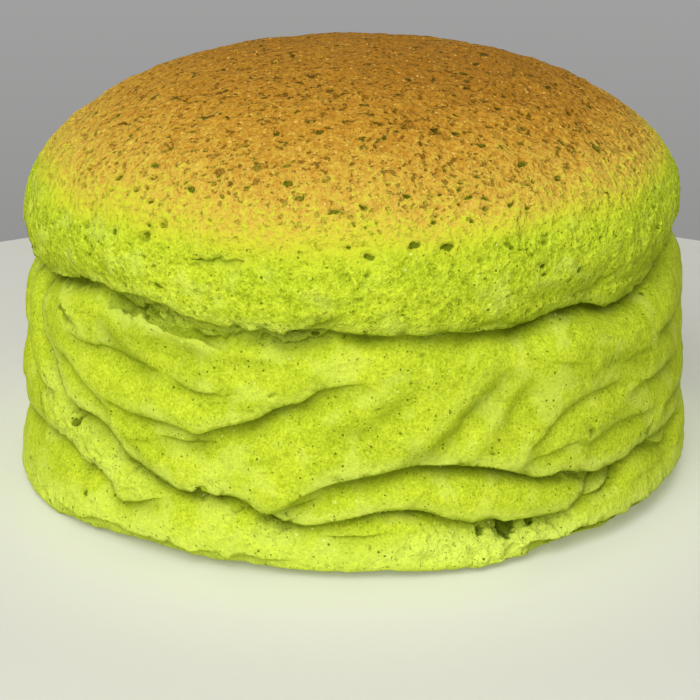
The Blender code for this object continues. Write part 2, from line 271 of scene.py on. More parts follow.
FRONT_FOLDS = (
    # The long lower edge of the middle band, from the upper left to the right.
    Fold(Section.OVERLAP, (
        (-66, 47.5, 1.1), (-64.4, 45.5, 2.4), (-62.5, 41, 3.3), (-60.6, 36, 3.3), (-57.1, 31.6, 3.2),
        (-53.9, 27.5, 3.2), (-50.9, 24.8, 3.3), (-45.7, 23.1, 3.5), (-41.3, 21.1, 3.6),
        (-38.3, 17.8, 3.6), (-34.6, 16.2, 3.5), (-30.8, 14.4, 3.5), (-27.1, 12.8, 3.5), (-22.9, 13, 3.2),
        (-18, 13.7, 3), (-15.5, 12.2, 3.8), (-12.6, 10.2, 3.8), (-10, 8.8, 2.7), (-7, 8.5, 2),
        (-2, 9.8, 2.3), (3.1, 11.5, 3.5), (7.5, 11.8, 4), (10.7, 10.9, 3.5), (13.4, 9.3, 2.7),
        (17.5, 7.8, 2.3), (19.9, 8.2, 2.6), (22, 7, 2.6), (26.6, 7.2, 2), (29.6, 7.4, 1.8),
        (32.5, 7.9, 1), (34.5, 8.4, 0),
    ), ragged=0.45),
    # The tucked strip under the middle band, front right.
    Fold(Section.TUCK, (
        (-11, 14.2, 0), (-7.5, 15.9, 1.4), (-5.2, 17.4, 2), (-1.6, 19, 2.4), (3.5, 20.5, 2.9),
        (9, 21.6, 3.2), (13, 21.2, 3.3), (16.9, 20.7, 3.3), (21.6, 19.7, 3.6), (25, 18.3, 3.6),
        (29.4, 16.8, 3.4), (36.2, 15.2, 2.6), (41.9, 14.1, 2.2), (45.9, 14.4, 2.6), (51.1, 14.6, 3.8),
        (56.4, 14.3, 3.6), (62.2, 14.6, 3.2), (69, 15, 2.6), (82, 17, 1.7), (94, 20, 0),
    ), ragged=0.12),
    Fold(Section.SHEET, ((20.5, 20.6, 0), (23, 20.1, 1.3), (27, 19.8, 1.4), (30, 19.4, 1), (33, 18.6, 0))),
    # The ends of the tucked strip, where two sheets lie over each other.
    Fold(Section.SHEET, (
        (30.5, 7.2, 0), (33.5, 8, 1.6), (35.7, 9.6, 2.2), (38.1, 11.8, 2.2), (40.1, 14, 1.8), (42, 16, 0),
    ), ragged=0.05),
    Fold(Section.SHEET, (
        (35, 8, 0), (39, 8.4, 2), (43, 9.4, 2.8), (45.8, 11.2, 3), (48.2, 13.6, 2.8), (50.4, 16, 0),
    ), ragged=0.05),
    # The fold across the middle of the front, and the smaller ones beside it.
    Fold(Section.LAP, (
        (-27, 25.6, 0), (-23.6, 26.3, 2), (-19.6, 27.8, 2.9), (-14.9, 29.6, 3.3), (-11.1, 32.1, 3.2),
        (-8.1, 33.1, 2.6), (-5.2, 35.3, 2), (-1, 36.5, 1.2), (4, 37.5, 0),
    )),
    Fold(Section.CREASE, ((-34, 25, 0), (-29.7, 24.4, 1.4), (-24.5, 24.2, 1.8), (-19, 25.5, 0))),
    Fold(Section.LAP, (
        (-43, 29.5, 0), (-37.6, 28.4, 1.6), (-31.6, 27.9, 1.9), (-27.1, 27, 1.4), (-23, 26.4, 0),
    )),
    Fold(Section.CREASE, ((-30, 36, 0), (-27.2, 35, 1.3), (-22.1, 34.4, 1.4), (-16, 35.5, 0))),
    Fold(Section.CREASE, (
        (-52, 39.5, 0), (-48.3, 38.8, 1.3), (-41.3, 38, 1.5), (-34, 36.6, 1.1), (-29, 36, 0),
    )),
    Fold(Section.LAP, (
        (-57, 38, 0), (-54.7, 36.1, 1.4), (-48.7, 32.5, 1.7), (-44.1, 28.9, 1.5), (-40, 26.2, 0),
    )),
    Fold(Section.HOLLOW, ((-40, 43.5, 0), (-30, 41.5, 1), (-20, 40.5, 1), (-8, 41.5, 0))),
    Fold(Section.HOLLOW, ((-46, 44.5, 0), (-42, 41, 0.9), (-36, 37, 0.8), (-31, 33, 0))),
    # The second overlap at the lower left.
    Fold(Section.OVERLAP, (
        (-97, 19, 0), (-85, 14.5, 1.4), (-76, 14.3, 1.8), (-67, 14.9, 2), (-60.1, 15.2, 2),
        (-53.8, 15.1, 2.3), (-49.9, 14.1, 2.4), (-48, 12.2, 2.3), (-42.1, 11.5, 2.1), (-40.2, 8.2, 1.8),
        (-38.2, 6.9, 1.7), (-34.5, 7.9, 1.4), (-31.6, 9.4, 0.9), (-27, 11, 0),
    ), ragged=0.45),
    Fold(Section.OVERLAP, (
        (-80, 33, 0), (-73, 31.5, 1.1), (-67.5, 29.9, 1.7), (-65.3, 27.4, 1.8), (-60, 24.8, 1.5),
        (-55, 24.3, 0),
    )),
    Fold(Section.LAP, (
        (-80, 47, 0), (-75, 42, 1.8), (-71.5, 36, 2.4), (-69, 30.5, 2.2), (-66, 26.5, 0),
    ), ragged=0.5),
    Fold(Section.CREASE, ((-88, 41, 0), (-82, 35, 1.6), (-78, 28, 2), (-74, 22, 1.6), (-69, 18, 0))),
    # Hollows and ridges of the middle band at the right.
    Fold(Section.HOLLOW, (
        (4, 23.5, 0), (7.8, 25.1, 1.5), (12.3, 27, 1.9), (17, 32.2, 1.9), (21.9, 35.9, 1.4), (26, 40, 0),
    )),
    Fold(Section.CREASE, (
        (26, 23.5, 0), (29.4, 25.4, 1.1), (32.9, 28.1, 1.4), (37.5, 30.2, 1.4), (43.5, 30.3, 1.1),
        (50, 31.5, 0),
    )),
    Fold(Section.HOLLOW, ((17, 24, 0), (21, 27.5, 0.9), (26, 33, 1.1), (31, 39, 0))),
    Fold(Section.HOLLOW, ((-6, 27, 0), (0, 29.5, 0.9), (6, 33.5, 1.1), (11, 39, 0))),
    Fold(Section.CREASE, ((23, 21.8, 0), (29.4, 22.9, 1), (35.1, 22.7, 1), (41, 21.8, 0))),
    Fold(Section.CREASE, (
        (37, 21.3, 0), (40.4, 22.2, 1.1), (46, 23.2, 1.3), (52.6, 23.1, 1), (58, 22.2, 0),
    )),
    Fold(Section.LAP, ((46, 27.5, 0), (52.9, 28.6, 1.4), (60.9, 29, 1.7), (64.7, 28.4, 1.5), (76, 27, 0))),
    Fold(Section.LAP, ((56, 36, 0), (61.8, 36.7, 1.4), (71.1, 36.5, 1.5), (82, 38, 0))),
    Fold(Section.CREASE, ((58, 21.4, 0), (64.2, 21.6, 1.4), (74.8, 21.1, 1.4), (84, 22, 0))),
    Fold(Section.HOLLOW, ((40, 36.6, 0), (44.6, 35.2, 1.1), (51.6, 33.3, 1), (57, 32, 0))),
    # Tucks of the foot at the right.
    Fold(Section.CREASE, (
        (54, 13.8, 0), (57, 12.2, 1.4), (61, 10.2, 2), (64, 10.6, 2), (67, 12.2, 1.3), (70, 14, 0),
    )),
    # The ragged rim of the foot at the right, which stands clear of the table.
    Fold(Section.RIM, (
        (22, 1.3, 0), (29, 1.6, 1.8), (37, 2.1, 2.6), (46, 2.4, 2.9), (56, 2.3, 2.6), (66, 1.9, 1.8),
        (78, 1.5, 0),
    ), ragged=0.6),
    Fold(Section.RIM, (
        (-56, 1.2, 0), (-46, 1.4, 0.9), (-36, 1.6, 1.2), (-26, 1.5, 1.2), (-16, 1.4, 0.9), (-6, 1.2, 0),
    ), ragged=0.9),
    # Small creases of the foot.
    Fold(Section.WRINKLE, ((-7, 6.4, 0), (-3, 6.6, 1), (2, 6.9, 1), (7, 8, 0))),
    Fold(Section.CREASE, ((-16, 12.6, 0), (-11.9, 14.3, 1.2), (-6.7, 15.1, 1.2), (-2, 16.4, 0))),
    Fold(Section.WRINKLE, ((-15, 11.5, 0), (-11, 12.2, 1), (-6, 13.2, 0))),
)

CROWN_FOLDS = (
    # The small flap at the left, and a short crack beside it.
    Fold(Section.OVERLAP, (
        (-80, 67, 0), (-74, 64.5, 1.4), (-68.5, 61.5, 2.2), (-65.6, 57.7, 2.8), (-63.9, 53.6, 3),
        (-61.4, 50.9, 2.6), (-58, 48.5, 0),
    ), ragged=0.4),
    Fold(Section.WRINKLE, ((-28, 59.3, 0), (-24, 60.2, 1), (-20, 60.6, 1), (-16, 60.3, 0)), ragged=0.5),
    # The upper edge of the middle band, where it leaves a lumpy strip under the crown.
    Fold(Section.SHEET, (
        (-19, 43.8, 0), (-22, 43.9, 1), (-24.4, 44.3, 1.3), (-28.4, 45.4, 1.6), (-31.2, 46.1, 1.7),
        (-36, 47.2, 1.6), (-41, 48.4, 1.3), (-45, 50, 0),
    ), ragged=0.5),
    Fold(Section.CREASE, (
        (-42.5, 49.6, 0), (-39, 48.4, 1.5), (-34, 48, 1.8), (-31.4, 48.8, 1.7), (-27, 46.8, 0),
    ), ragged=0.9),
    Fold(Section.CREASE, ((-27, 46.2, 0), (-23, 45.4, 1.6), (-18, 45, 1.6), (-14, 45.8, 0)), ragged=0.9),
    # Rough laps just under and above the crease, front centre.
    Fold(Section.LAP, (
        (-17, 46.2, 0), (-14, 45.7, 1.2), (-9.5, 44.7, 1.6), (-6.5, 45.6, 1.4), (-3, 46.9, 0.8),
        (0, 46.6, 0),
    ), ragged=0.5),
    Fold(Section.CREASE, ((-13, 48.4, 0), (-8.1, 49.4, 1.2), (-5.2, 50.8, 1.4), (-1, 51.8, 0)), ragged=0.5),
    Fold(Section.CREASE, ((-3, 48.2, 0), (0.5, 47.6, 1.4), (3, 46.9, 1.4), (6, 47.4, 0)), ragged=0.6),
    Fold(Section.WRINKLE, ((10, 49.3, 0), (15, 49, 0.8), (20, 50.2, 0.8), (25, 50.8, 0))),
    Fold(Section.WRINKLE, ((20, 49.6, 0), (26, 50.2, 1.1), (31, 51.2, 1.1), (36, 51.8, 0))),
    Fold(Section.CREASE, ((38, 52.6, 0), (42, 55, 0.9), (47, 56.5, 0))),
    Fold(Section.WRINKLE, ((40, 48.2, 0), (44, 49, 1), (50, 49.4, 0))),
)

BACK_FOLDS = (
    Fold(Section.OVERLAP, (
        (84, 34, 0), (96, 29, 1.8), (108, 25, 2.4), (120, 19, 2.4), (131, 16, 2.3), (142, 11, 2.4),
        (152, 9, 1.8), (162, 11, 0),
    ), ragged=0.45),
    Fold(Section.TUCK, (
        (138, 18, 0), (148, 21.5, 1.8), (160, 22.5, 2.6), (173, 20, 2.7), (186, 17, 2.6), (198, 13, 2.4),
        (212, 11.5, 2.3), (226, 13, 0),
    )),
    Fold(Section.LAP, (
        (196, 24, 0), (206, 27, 1.9), (218, 29, 2.5), (230, 33, 2.4), (241, 36.5, 1.9), (254, 38, 0),
    )),
    Fold(Section.OVERLAP, (
        (222, 20, 0), (234, 21, 1.8), (246, 18, 2.4), (257, 13, 2.3), (268, 10, 1.7), (277, 11, 0),
    ), ragged=0.45),
    Fold(Section.LAP, ((118, 33, 0), (130, 35, 1.7), (144, 33.5, 2), (157, 36, 1.7), (170, 35.5, 0))),
    Fold(Section.LAP, ((86, 10, 0), (98, 8, 1.7), (110, 9, 1.9), (122, 8, 0))),
)


@dataclass(frozen=True)
class FoldScatter:
    """Small creases sown over the part of the side that has no drawn ones.

    Angles are in degrees and lengths in millimetres. Each range is drawn from evenly.
    """

    seed: int = 23
    count: int = 34
    start: tuple[float, float] = (84.0, 272.0)
    level: tuple[float, float] = (7.0, 42.0)
    span: tuple[float, float] = (8.0, 20.0)
    climb: tuple[float, float] = (-5.0, 5.0)
    depth: tuple[float, float] = (0.7, 1.5)
    bend: tuple[float, float] = (-1.5, 1.5)
    shares: tuple[float, ...] = (0.0, 0.3, 0.65, 1.0)

    def folds(self) -> list[Fold]:
        """Draw the creases.

        Returns:
            Short folds of three kinds, each bending gently.
        """
        draw = np.random.default_rng(self.seed)
        kinds = (Section.CREASE, Section.WRINKLE, Section.HOLLOW)
        made = []
        for _ in range(self.count):
            ranges = (self.start, self.level, self.span, self.climb, self.depth, self.bend)
            start, level, span, climb, depth, bend = (draw.uniform(*limits) for limits in ranges)
            line = tuple(
                (
                    start + span * share,
                    level + climb * share + bend * math.sin(math.pi * share),
                    depth if 0.0 < share < 1.0 else 0.0,
                )
                for share in self.shares
            )
            made.append(Fold(kinds[draw.integers(len(kinds))], line))
        return made


class FoldPress:
    """Presses folds into points that are laid out by girth and rise.

    The depths, sizes, lengths and widths are in metres. The others are shares, powers
    and counts.
    """

    SEED = 71
    SPACING = 1.2 * MM
    STEADY = 11
    REACH = 3.6
    FADE_FROM = 0.6
    BLEND = 0.35
    LEAST_BLEND = 0.1 * MM
    STEEPNESS = 1.5
    WAVER_DEPTH = 2.0 * MM
    WAVER_SIZE = 4.0 * MM
    WAVER_REACH = 2.5 * MM
    FRAY_SIZE = 1.5 * MM
    FRAY_SHARE = 0.35
    TORN_FRAY_SHARE = 3.0
    DEPTH_CHANGE = 0.25
    DEPTH_CHANGE_SIZE = 7.0 * MM
    SOFTENING = 1.6 * MM
    SLIDE_LENGTH = 2.5
    LEAST_SLIDE_LENGTH = 2.0 * MM
    DEEPEST_SHADE = 5.0
    # Place, width and depths of the painted highlight along a hanging edge.
    HIGHLIGHT_INSET = 0.6 * MM
    HIGHLIGHT_WIDTH = 0.9 * MM
    HIGHLIGHT_DEPTHS = (0.6 * MM, 2.0 * MM)

    def __init__(self, girth: Array, rise: Array, lap: float, torn: Array) -> None:
        """Keep the points sorted by girth, so that each fold finds its own quickly.

        Args:
            girth: Distance of each point round the cake, from -lap / 2 to lap / 2.
            rise: Distance of each point up the side.
            lap: The whole way round.
            torn: How torn the skin is at each point, from 0 to 1.
        """
        self.order = np.argsort(girth, kind="stable")
        self.girth = girth[self.order]
        self.rise = rise[self.order]
        self.lap = lap
        self.noise = SoftNoise(self.SEED)
        ring = self.ring(self.girth, self.rise)
        self.waver = self.noise.layered(ring, self.WAVER_SIZE, 2)
        fraying = self.FRAY_SHARE * (1.0 + self.TORN_FRAY_SHARE * torn[self.order])
        self.waver += fraying * self.noise.layered(ring + 0.2, self.FRAY_SIZE, 2)
        totals = (np.zeros(len(girth)) for _ in range(5))
        self.outwards, self.around, self.upwards, self.shade, self.rim = totals

    def ring(self, girth: Array, rise: Array) -> Array:
        """Roll girth and rise up into points on a cylinder."""
        radius = self.lap / (2.0 * math.pi)
        return np.column_stack((radius * np.sin(girth / radius), radius * np.cos(girth / radius), rise))

    def line_points(self, fold: Fold) -> Array:
        """Lay a smooth line through a fold's points.

        Args:
            fold: The fold.

        Returns:
            Closely spaced rows of girth, rise and depth, in metres, and of the steady
            way to the left, which doesn't follow the line's small bends.
        """
        points = np.array(fold.line, dtype=float)
        girth = np.radians(points[:, 0]) / (2.0 * math.pi) * self.lap
        control = np.column_stack((girth, points[:, 1:] * MM))
        if fold.closed:
            whole = np.array((self.lap, 0.0, 0.0))
            control = np.vstack((control[-1] - whole, control, control[0] + whole, control[1] + whole))
        else:
            control = np.vstack((2 * control[0] - control[1], control, 2 * control[-1] - control[-2]))
        pieces = []
        for before, start, end, after in zip(control, control[1:], control[2:], control[3:]):
            count = max(2, int(np.linalg.norm(end[:2] - start[:2]) / self.SPACING))
            step = np.linspace(0.0, 1.0, count, endpoint=False)[:, None]
            pieces.append(
                0.5 * (
                    2.0 * start
                    + (end - before) * step
                    + (2.0 * before - 5.0 * start + 4.0 * end - after) * step**2
                    + (3.0 * start - before - 3.0 * end + after) * step**3
                )
            )
        pieces.append(control[-2][None, :])
        line = np.vstack(pieces)
        along = self.ring(line[:, 0], line[:, 1])
        line[:, 2] *= 1.0 + self.DEPTH_CHANGE * self.noise.at(along + 1.0, self.DEPTH_CHANGE_SIZE)
        line[:, 2] = np.maximum(line[:, 2], 0.0)
        run = np.gradient(line[:, :2], axis=0)
        window = np.ones(self.STEADY) / self.STEADY
        half = self.STEADY // 2
        padded = np.pad(run, ((half, half), (0, 0)), mode="edge")
        steady = np.column_stack([np.convolve(padded[:, axis], window, "valid") for axis in (0, 1)])
        steady /= np.linalg.norm(steady, axis=1)[:, None] + TINY
        return np.column_stack((line, -steady[:, 1], steady[:, 0]))

    def window(self, middle: float, half: float) -> Array:
        """Find the points whose girth lies near a value, across the seam as well.

        Args:
            middle: The value.
            half: How near.

        Returns:
            The points' numbers.
        """
        found = []
        for shift in (-self.lap, 0.0, self.lap):
            low, high = np.searchsorted(self.girth, (middle + shift - half, middle + shift + half))
            if high > low:
                found.append(np.arange(low, high))
        return np.concatenate(found) if found else np.zeros(0, dtype=int)

    def offset(self, girth: Array | float, middle: float) -> Array | float:
        """Give the distance round the cake from one girth to others, the short way."""
        return (girth - middle + 0.5 * self.lap) % self.lap - 0.5 * self.lap

    def pieces(self, line: Array, reach: float) -> Iterator[tuple[Array, ...]]:
        """Go along a line piece by piece, with the points that lie near each.

        Args:
            line: Rows of girth, rise, depth and the way to the left.
            reach: How far from the line points are taken.

        Yields:
            The points' numbers, their distances from the piece, 1 for those at its
            left and -1 for the others, the depths there, and the way to the left.
        """
        for start, end in zip(line, line[1:]):
            run = end[:2] - start[:2]
            span = float(np.hypot(*run))
            if span < TINY:
                continue
            middle = self.offset(0.5 * (start[0] + end[0]), 0.0)
            near = self.window(middle, reach + span)
            near = near[np.abs(self.rise[near] - start[1]) < reach + span]
            x = self.offset(self.girth[near], middle) + 0.5 * run[0]
            y = self.rise[near] - start[1]
            along = np.clip((x * run[0] + y * run[1]) / span**2, 0.0, 1.0)
            gap = np.hypot(x - along * run[0], y - along * run[1])
            side = np.where(run[0] * y - run[1] * x < 0.0, -1.0, 1.0)
            depth = start[2] + along * (end[2] - start[2])
            yield near, gap, side, depth, start[3:5]

    def spread(self, line: Array, reach: float) -> tuple[Array, Array, Array]:
        """Carry a line's depth and direction over to the points near it.

        Both are averaged over the stretch of line near each point, so that the skin
        beside a bend in the line stays smooth.

        Args:
            line: Rows of girth, rise, depth and the way to the left.
            reach: How far from the line points are taken.

        Returns:
            For each point its distance to the left of the line, the depth, and the way
            to the left.
        """
        nearest = np.full(len(self.girth), reach)
        for near, gap, side, _, _ in self.pieces(line, reach):
            closer = gap < np.abs(nearest[near])
            nearest[near[closer]] = (gap * side)[closer]
        weight = np.zeros(len(self.girth))
        depth = np.zeros(len(self.girth))
        across = np.zeros((len(self.girth), 2))
        blend = self.BLEND * np.abs(nearest) + self.LEAST_BLEND
        for near, gap, _, deep, left in self.pieces(line, reach):
            share = np.exp((np.abs(nearest[near]) - gap) / blend[near])
            weight[near] += share
            depth[near] += share * deep
            across[near] += share[:, None] * left
        weight = np.maximum(weight, TINY)
        return nearest, depth / weight, across / weight[:, None]

    def press(self, fold: Fold) -> None:
        """Add one fold to the running totals.

        Args:
            fold: The fold to press in.
        """
        lip, above, below, brim, rounding, rounded, hang, dimming = fold.section.value
        above, below, brim, rounding = above * MM, below * MM, brim * MM, rounding * MM
        reach = self.REACH * max(above, below)
        nearest, depth, across = self.spread(self.line_points(fold), reach)
        drawn = hang * depth
        frayed = fold.ragged * self.WAVER_DEPTH * self.waver * np.exp(-((nearest / self.WAVER_REACH) ** 2))
        nearest = nearest + frayed - drawn
        up = np.maximum(nearest, 0.0)
        down = np.maximum(-nearest, 0.0)
        share = depth / fold.deepest()
        thick = brim + self.SOFTENING * (1.0 - share)
        edge = 1.0 - smoothstep(0.0, thick, up)
        bend = np.exp(-up / rounding)
        above_line = (1.0 - rounded) * edge + rounded * bend
        shown = np.maximum(down - drawn, 0.0)
        below_line = np.exp(-((shown / below) ** self.STEEPNESS))
        valley = np.where(nearest > 0.0, above_line, below_line)
        roll = (up / above) * np.exp(1.0 - up / above)
        fade = 1.0 - smoothstep(self.FADE_FROM * reach, reach, np.abs(nearest))
        self.outwards += (lip * MM * share * roll - depth * valley) * fade
        length = self.SLIDE_LENGTH * hang * fold.deepest() + self.LEAST_SLIDE_LENGTH
        slide = -drawn * (1.0 - edge) * np.exp(-np.maximum(up - thick, 0.0) / length) * fade
        slide = np.where(nearest > 0.0, slide, 0.0)
        self.around += across[:, 0] * slide
        self.upwards += across[:, 1] * slide
        # Painted shade in the crease below the line, kept as a mark for the finish to colour.
        dim = np.where(nearest > 0.0, edge, np.exp(-((shown / (dimming * MM)) ** self.STEEPNESS)))
        deep = np.clip(depth / MM, 0.0, self.DEEPEST_SHADE)
        self.shade += deep * (1.0 - 0.5 * rounded) * dim * fade
        # A painted highlight along the hanging edge, kept as the rim mark.
        highlight_zone = np.exp(-(((nearest - thick - self.HIGHLIGHT_INSET) / self.HIGHLIGHT_WIDTH) ** 2))
        self.rim = np.maximum(self.rim, smoothstep(*self.HIGHLIGHT_DEPTHS, depth) * (1.0 - rounded) * highlight_zone)

    def result(self) -> tuple[Array, ...]:
        """Give the totals in the points' own order.

        Returns:
            How far each point moves outwards, around and upwards, how much painted shade
            of a crease it gets, and how much painted highlight of a hanging edge it gets.
        """
        back = np.empty_like(self.order)
        back[self.order] = np.arange(len(self.order))
        totals = (self.outwards, self.around, self.upwards, self.shade, self.rim)
        return tuple(total[back] for total in totals)


@dataclass(frozen=True)
class Slump:
    """Slow rise and fall of the whole side, as random bulges blended smoothly."""

    depth: float = 0.9 * MM
    length: float = 24.0 * MM
    tallness: float = 13.0 * MM
    seed: int = 11

    def at(self, girth: Array, rise: Array, lap: float, height: float) -> Array:
        """Read the bulges.

        Args:
            girth: Distance of each point round the cake.
            rise: Distance of each point up the side.
            lap: The whole way round.
            height: The height of the cake.

        Returns:
            How far each point stands out, in metres.
        """
        columns = round(lap / self.length)
        rows = math.ceil(2.0 * height / self.tallness) + 3
        bulges = np.random.default_rng(self.seed).uniform(-1.0, 1.0, (columns, rows))
        across = girth / lap * columns
        up = np.clip(rise / self.tallness + 1.0, 0.0, rows - 2.0)
        column = np.floor(across).astype(int)
        row = np.floor(up).astype(int)
        blend_across = smoothstep(0.0, 1.0, across - column)
        blend_up = smoothstep(0.0, 1.0, up - row)
        left = column % columns
        right = (column + 1) % columns
        lower = bulges[left, row] * (1.0 - blend_across) + bulges[right, row] * blend_across
        upper = bulges[left, row + 1] * (1.0 - blend_across) + bulges[right, row + 1] * blend_across
        return self.depth * (lower * (1.0 - blend_up) + upper * blend_up)


@dataclass(frozen=True)
class Drape:
    """Soft wrinkles of the side, which hang like cloth between its higher points.

    Lengths in metres, the azimuth at which they hang lowest in radians. They fade out
    just above the foot and below the crown.
    """

    depth: float = 0.6 * MM
    width: float = 5.5 * MM
    length: float = 24.0 * MM
    climb: float = 10.0 * MM
    lowest: float = math.radians(-5.0)
    fine: float = 0.45
    fine_stretch: float = 3.0
    crowding: float = 0.65
    crowding_range: float = 0.5
    crowding_size: float = 20.0 * MM
    foot: float = 9.0 * MM
    foot_fade: tuple[float, float] = (3.0 * MM, 5.0 * MM)
    top_fade: float = 7.0 * MM
    seed: int = 57

    def at(self, azimuth: Array, rise: Array, places: Array, top: float) -> Array:
        """Read the wrinkles.

        Args:
            azimuth: Azimuth of each point.
            rise: Distance of each point up the side.
            places: The points.
            top: The rise at which the wrinkles end.

        Returns:
            How far each point stands out, in metres.
        """
        level = rise - self.climb * (1.0 - np.cos(2.0 * (azimuth - self.lowest)))
        radius = np.hypot(places[:, 0], places[:, 1])
        ring = np.column_stack((radius * np.sin(azimuth), radius * np.cos(azimuth), level))
        noise = SoftNoise(self.seed)
        stretch = self.length / self.width
        broad = noise.at(ring, self.width, (stretch, stretch, 1.0))
        fine = noise.at(ring + 0.1, 0.5 * self.width, (self.fine_stretch, self.fine_stretch, 1.0))
        crowd = self.crowding + self.crowding_range * noise.at(places + 0.3, self.crowding_size)
        inside = smoothstep(self.foot - self.foot_fade[0], self.foot + self.foot_fade[1], rise)
        inside *= 1.0 - smoothstep(top - self.top_fade, top, rise)
        return self.depth * (broad + self.fine * fine) * crowd * inside


@dataclass(frozen=True)
class Foot:
    """The flared, crumbly foot of the side. Lengths in metres.

    Each flare has its azimuth and its width in degrees and its size in millimetres.
    """

    height: float = 8.0 * MM
    skirt: float = 0.6 * MM
    flares: tuple[Vector3, ...] = ((-62.0, 27.0, 2.2), (48.0, 24.0, 1.9), (-24.0, 14.0, 0.5))
    rag: float = 0.6 * MM
    rag_size: float = 3.6 * MM
    rag_stretch: Vector3 = (1.0, 1.0, 0.5)
    rag_reach: tuple[float, float] = (2.5 * MM, 0.5 * MM)
    rag_fade: tuple[float, float] = (0.3 * MM, 3.0 * MM)
    seed: int = 91

    def raised(self, places: Array, radius: Array, edge: float) -> Array:
        """Work out how far the torn lower edge stands off the table.

        Args:
            places: Points of the skin.
            radius: Their distances from the upright axis.
            edge: Radius of the underside.

        Returns:
            The lift of each point, in metres.
        """
        tears = SoftNoise(self.seed).layered(places * self.rag_stretch, self.rag_size)
        inner, outer = self.rag_reach
        tears = np.maximum(tears, 0.0) * smoothstep(edge - inner, edge - outer, radius)
        return self.rag * tears * (1.0 - smoothstep(*self.rag_fade, places[:, 2]))


@dataclass(frozen=True)
class TornPatch:
    """A place where the skin has torn and shows open crumb.

    Azimuth in degrees; height, width and tallness in millimetres. It is fully torn up
    to the core, and whole again at the edge, both measured as a squared distance.
    """

    azimuth: float
    height: float
    width: float
    tallness: float
    strength: float = 1.0
    core: float = 0.25
    edge: float = 1.6

    def at(self, azimuth: Array, rise: Array, radius: float) -> Array:
        """Grade how torn the skin is by this patch.

        Args:
            azimuth: Azimuth of each point.
            rise: Its distance up the side.
            radius: Radius of the side.

        Returns:
            0 for whole skin, rising to the patch's strength.
        """
        across = angle_between(azimuth, math.radians(self.azimuth)) * radius
        up = rise - self.height * MM
        gap = (across / (self.width * MM)) ** 2 + (up / (self.tallness * MM)) ** 2
        return self.strength * (1.0 - smoothstep(self.core, self.edge, gap))


TORN_PATCHES = tuple(TornPatch(*row) for row in (
    (-57, 26.5, 4, 6, 0.8), (-53, 21.5, 6, 4.5, 1), (-47, 18.5, 6, 4, 1), (-42, 16, 5, 4, 1),
    (-36, 14, 5, 3, 0.8), (-24, 14.5, 4, 3.5, 1), (-22, 17.5, 3, 2.5, 0.8), (-12, 7.5, 6, 2.5, 1),
    (12, 5, 9, 3.5, 0.8), (22, 4.5, 9, 4.5, 1), (31, 5.5, 6, 2.5, 0.8), (35, 17, 4, 2, 1),
    (-12, 48, 12, 3.5, 0.9), (-34, 48, 13, 3.5, 1), (-52, 50, 9, 2, 0.6), (140, 12, 9, 3, 1),
    (176, 16, 8, 3, 0.8), (232, 17, 9, 3, 1), (205, 46, 12, 2.5, 0.8),
))


@dataclass(frozen=True)
class Pore:
    """One open pore.

    Its direction is seen from the cake's middle. The radius is in metres and the turn
    in radians; the stretch says how many times longer than wide it is.
    """

    direction: Vector
    radius: float
    stretch: float
    turn: float
    depth: float

    def bowl(self, along: Array, over: Array, rough: Array) -> Array:
        """Grade how deep points lie in the pore.

        Args:
            along: Their distances from its middle along it.
            over: Their distances from its middle across it.
            rough: How much wider than drawn it is at each.

        Returns:
            0 outside it, up to about 1 in the deepest.
        """
        gap = np.hypot(along / self.stretch, over) / (self.radius * rough)
        return (1.0 - smoothstep(0.45, 1.15, gap)) * (0.5 + 0.6 * self.depth)


@dataclass(frozen=True)
class Crater:
    """One large open pore. Azimuth and turn in degrees, the rest in millimetres."""

    azimuth: float
    height: float
    width: float
    tallness: float
    depth: float = 1.0
    turn: float = 0.0
    fullness: float = 0.85

    def pore(self, direction: Array) -> Pore:
        """Give the pore that lies in a direction from the cake's middle."""
        size = (self.fullness * self.tallness * MM, self.width / self.tallness)
        return Pore(Vector(direction), *size, math.radians(self.turn), self.depth / 0.6 - 0.8)


CRATERS = tuple(Crater(*row) for row in (
    (-34.6, 62.3, 2.6, 1.2, 0.7), (13.6, 63.5, 1.7, 1, 1.3), (8.6, 64.1, 0.9, 0.8, 1.1),
    (-1.7, 58.1, 1.9, 1.5, 0.45), (8.2, 71.5, 1.2, 0.9, 1.1), (-24.8, 60.1, 1.9, 0.5, 0.8),
    (-21, 60.9, 1.7, 0.45, 0.6), (-17.6, 60.6, 1.6, 0.5, 0.7), (20.8, 69, 1.3, 0.9, 0.8),
    (18.2, 67.2, 1, 0.9, 0.9), (-7.5, 86.6, 1.3, 1.1, 0.5), (21.4, 80.4, 1.3, 0.9, 1),
    (10.4, 81.5, 0.9, 0.8, 1), (29.6, 63, 1.2, 0.8, 0.8), (23.4, 63.3, 1.1, 0.7, 0.8),
    (18.6, 60.9, 1, 0.8, 0.6), (-47.6, 62.5, 1.5, 0.9, 0.7), (-47.9, 65.1, 0.9, 0.8, 0.6),
    (-38.1, 77, 1.2, 0.9, 0.8), (-0.7, 68.6, 1.1, 0.8, 0.7), (-9.5, 48.2, 1.4, 0.5, 1.3),
    (-6.5, 47.6, 1, 0.6, 1.3), (23.5, 6.6, 2.6, 1.2, 1.7, 8), (27.6, 6.8, 1.5, 0.8, 1.3),
    (19, 6.2, 1.6, 0.8, 1.1), (-24, 15.5, 1.8, 1.2, 1.2, 30), (-50, 21, 1.6, 1.1, 1),
    (150, 62, 2, 1.2, 0.9), (200, 66, 1.6, 1.2, 0.9), (118, 60, 1.5, 1, 0.8),
))


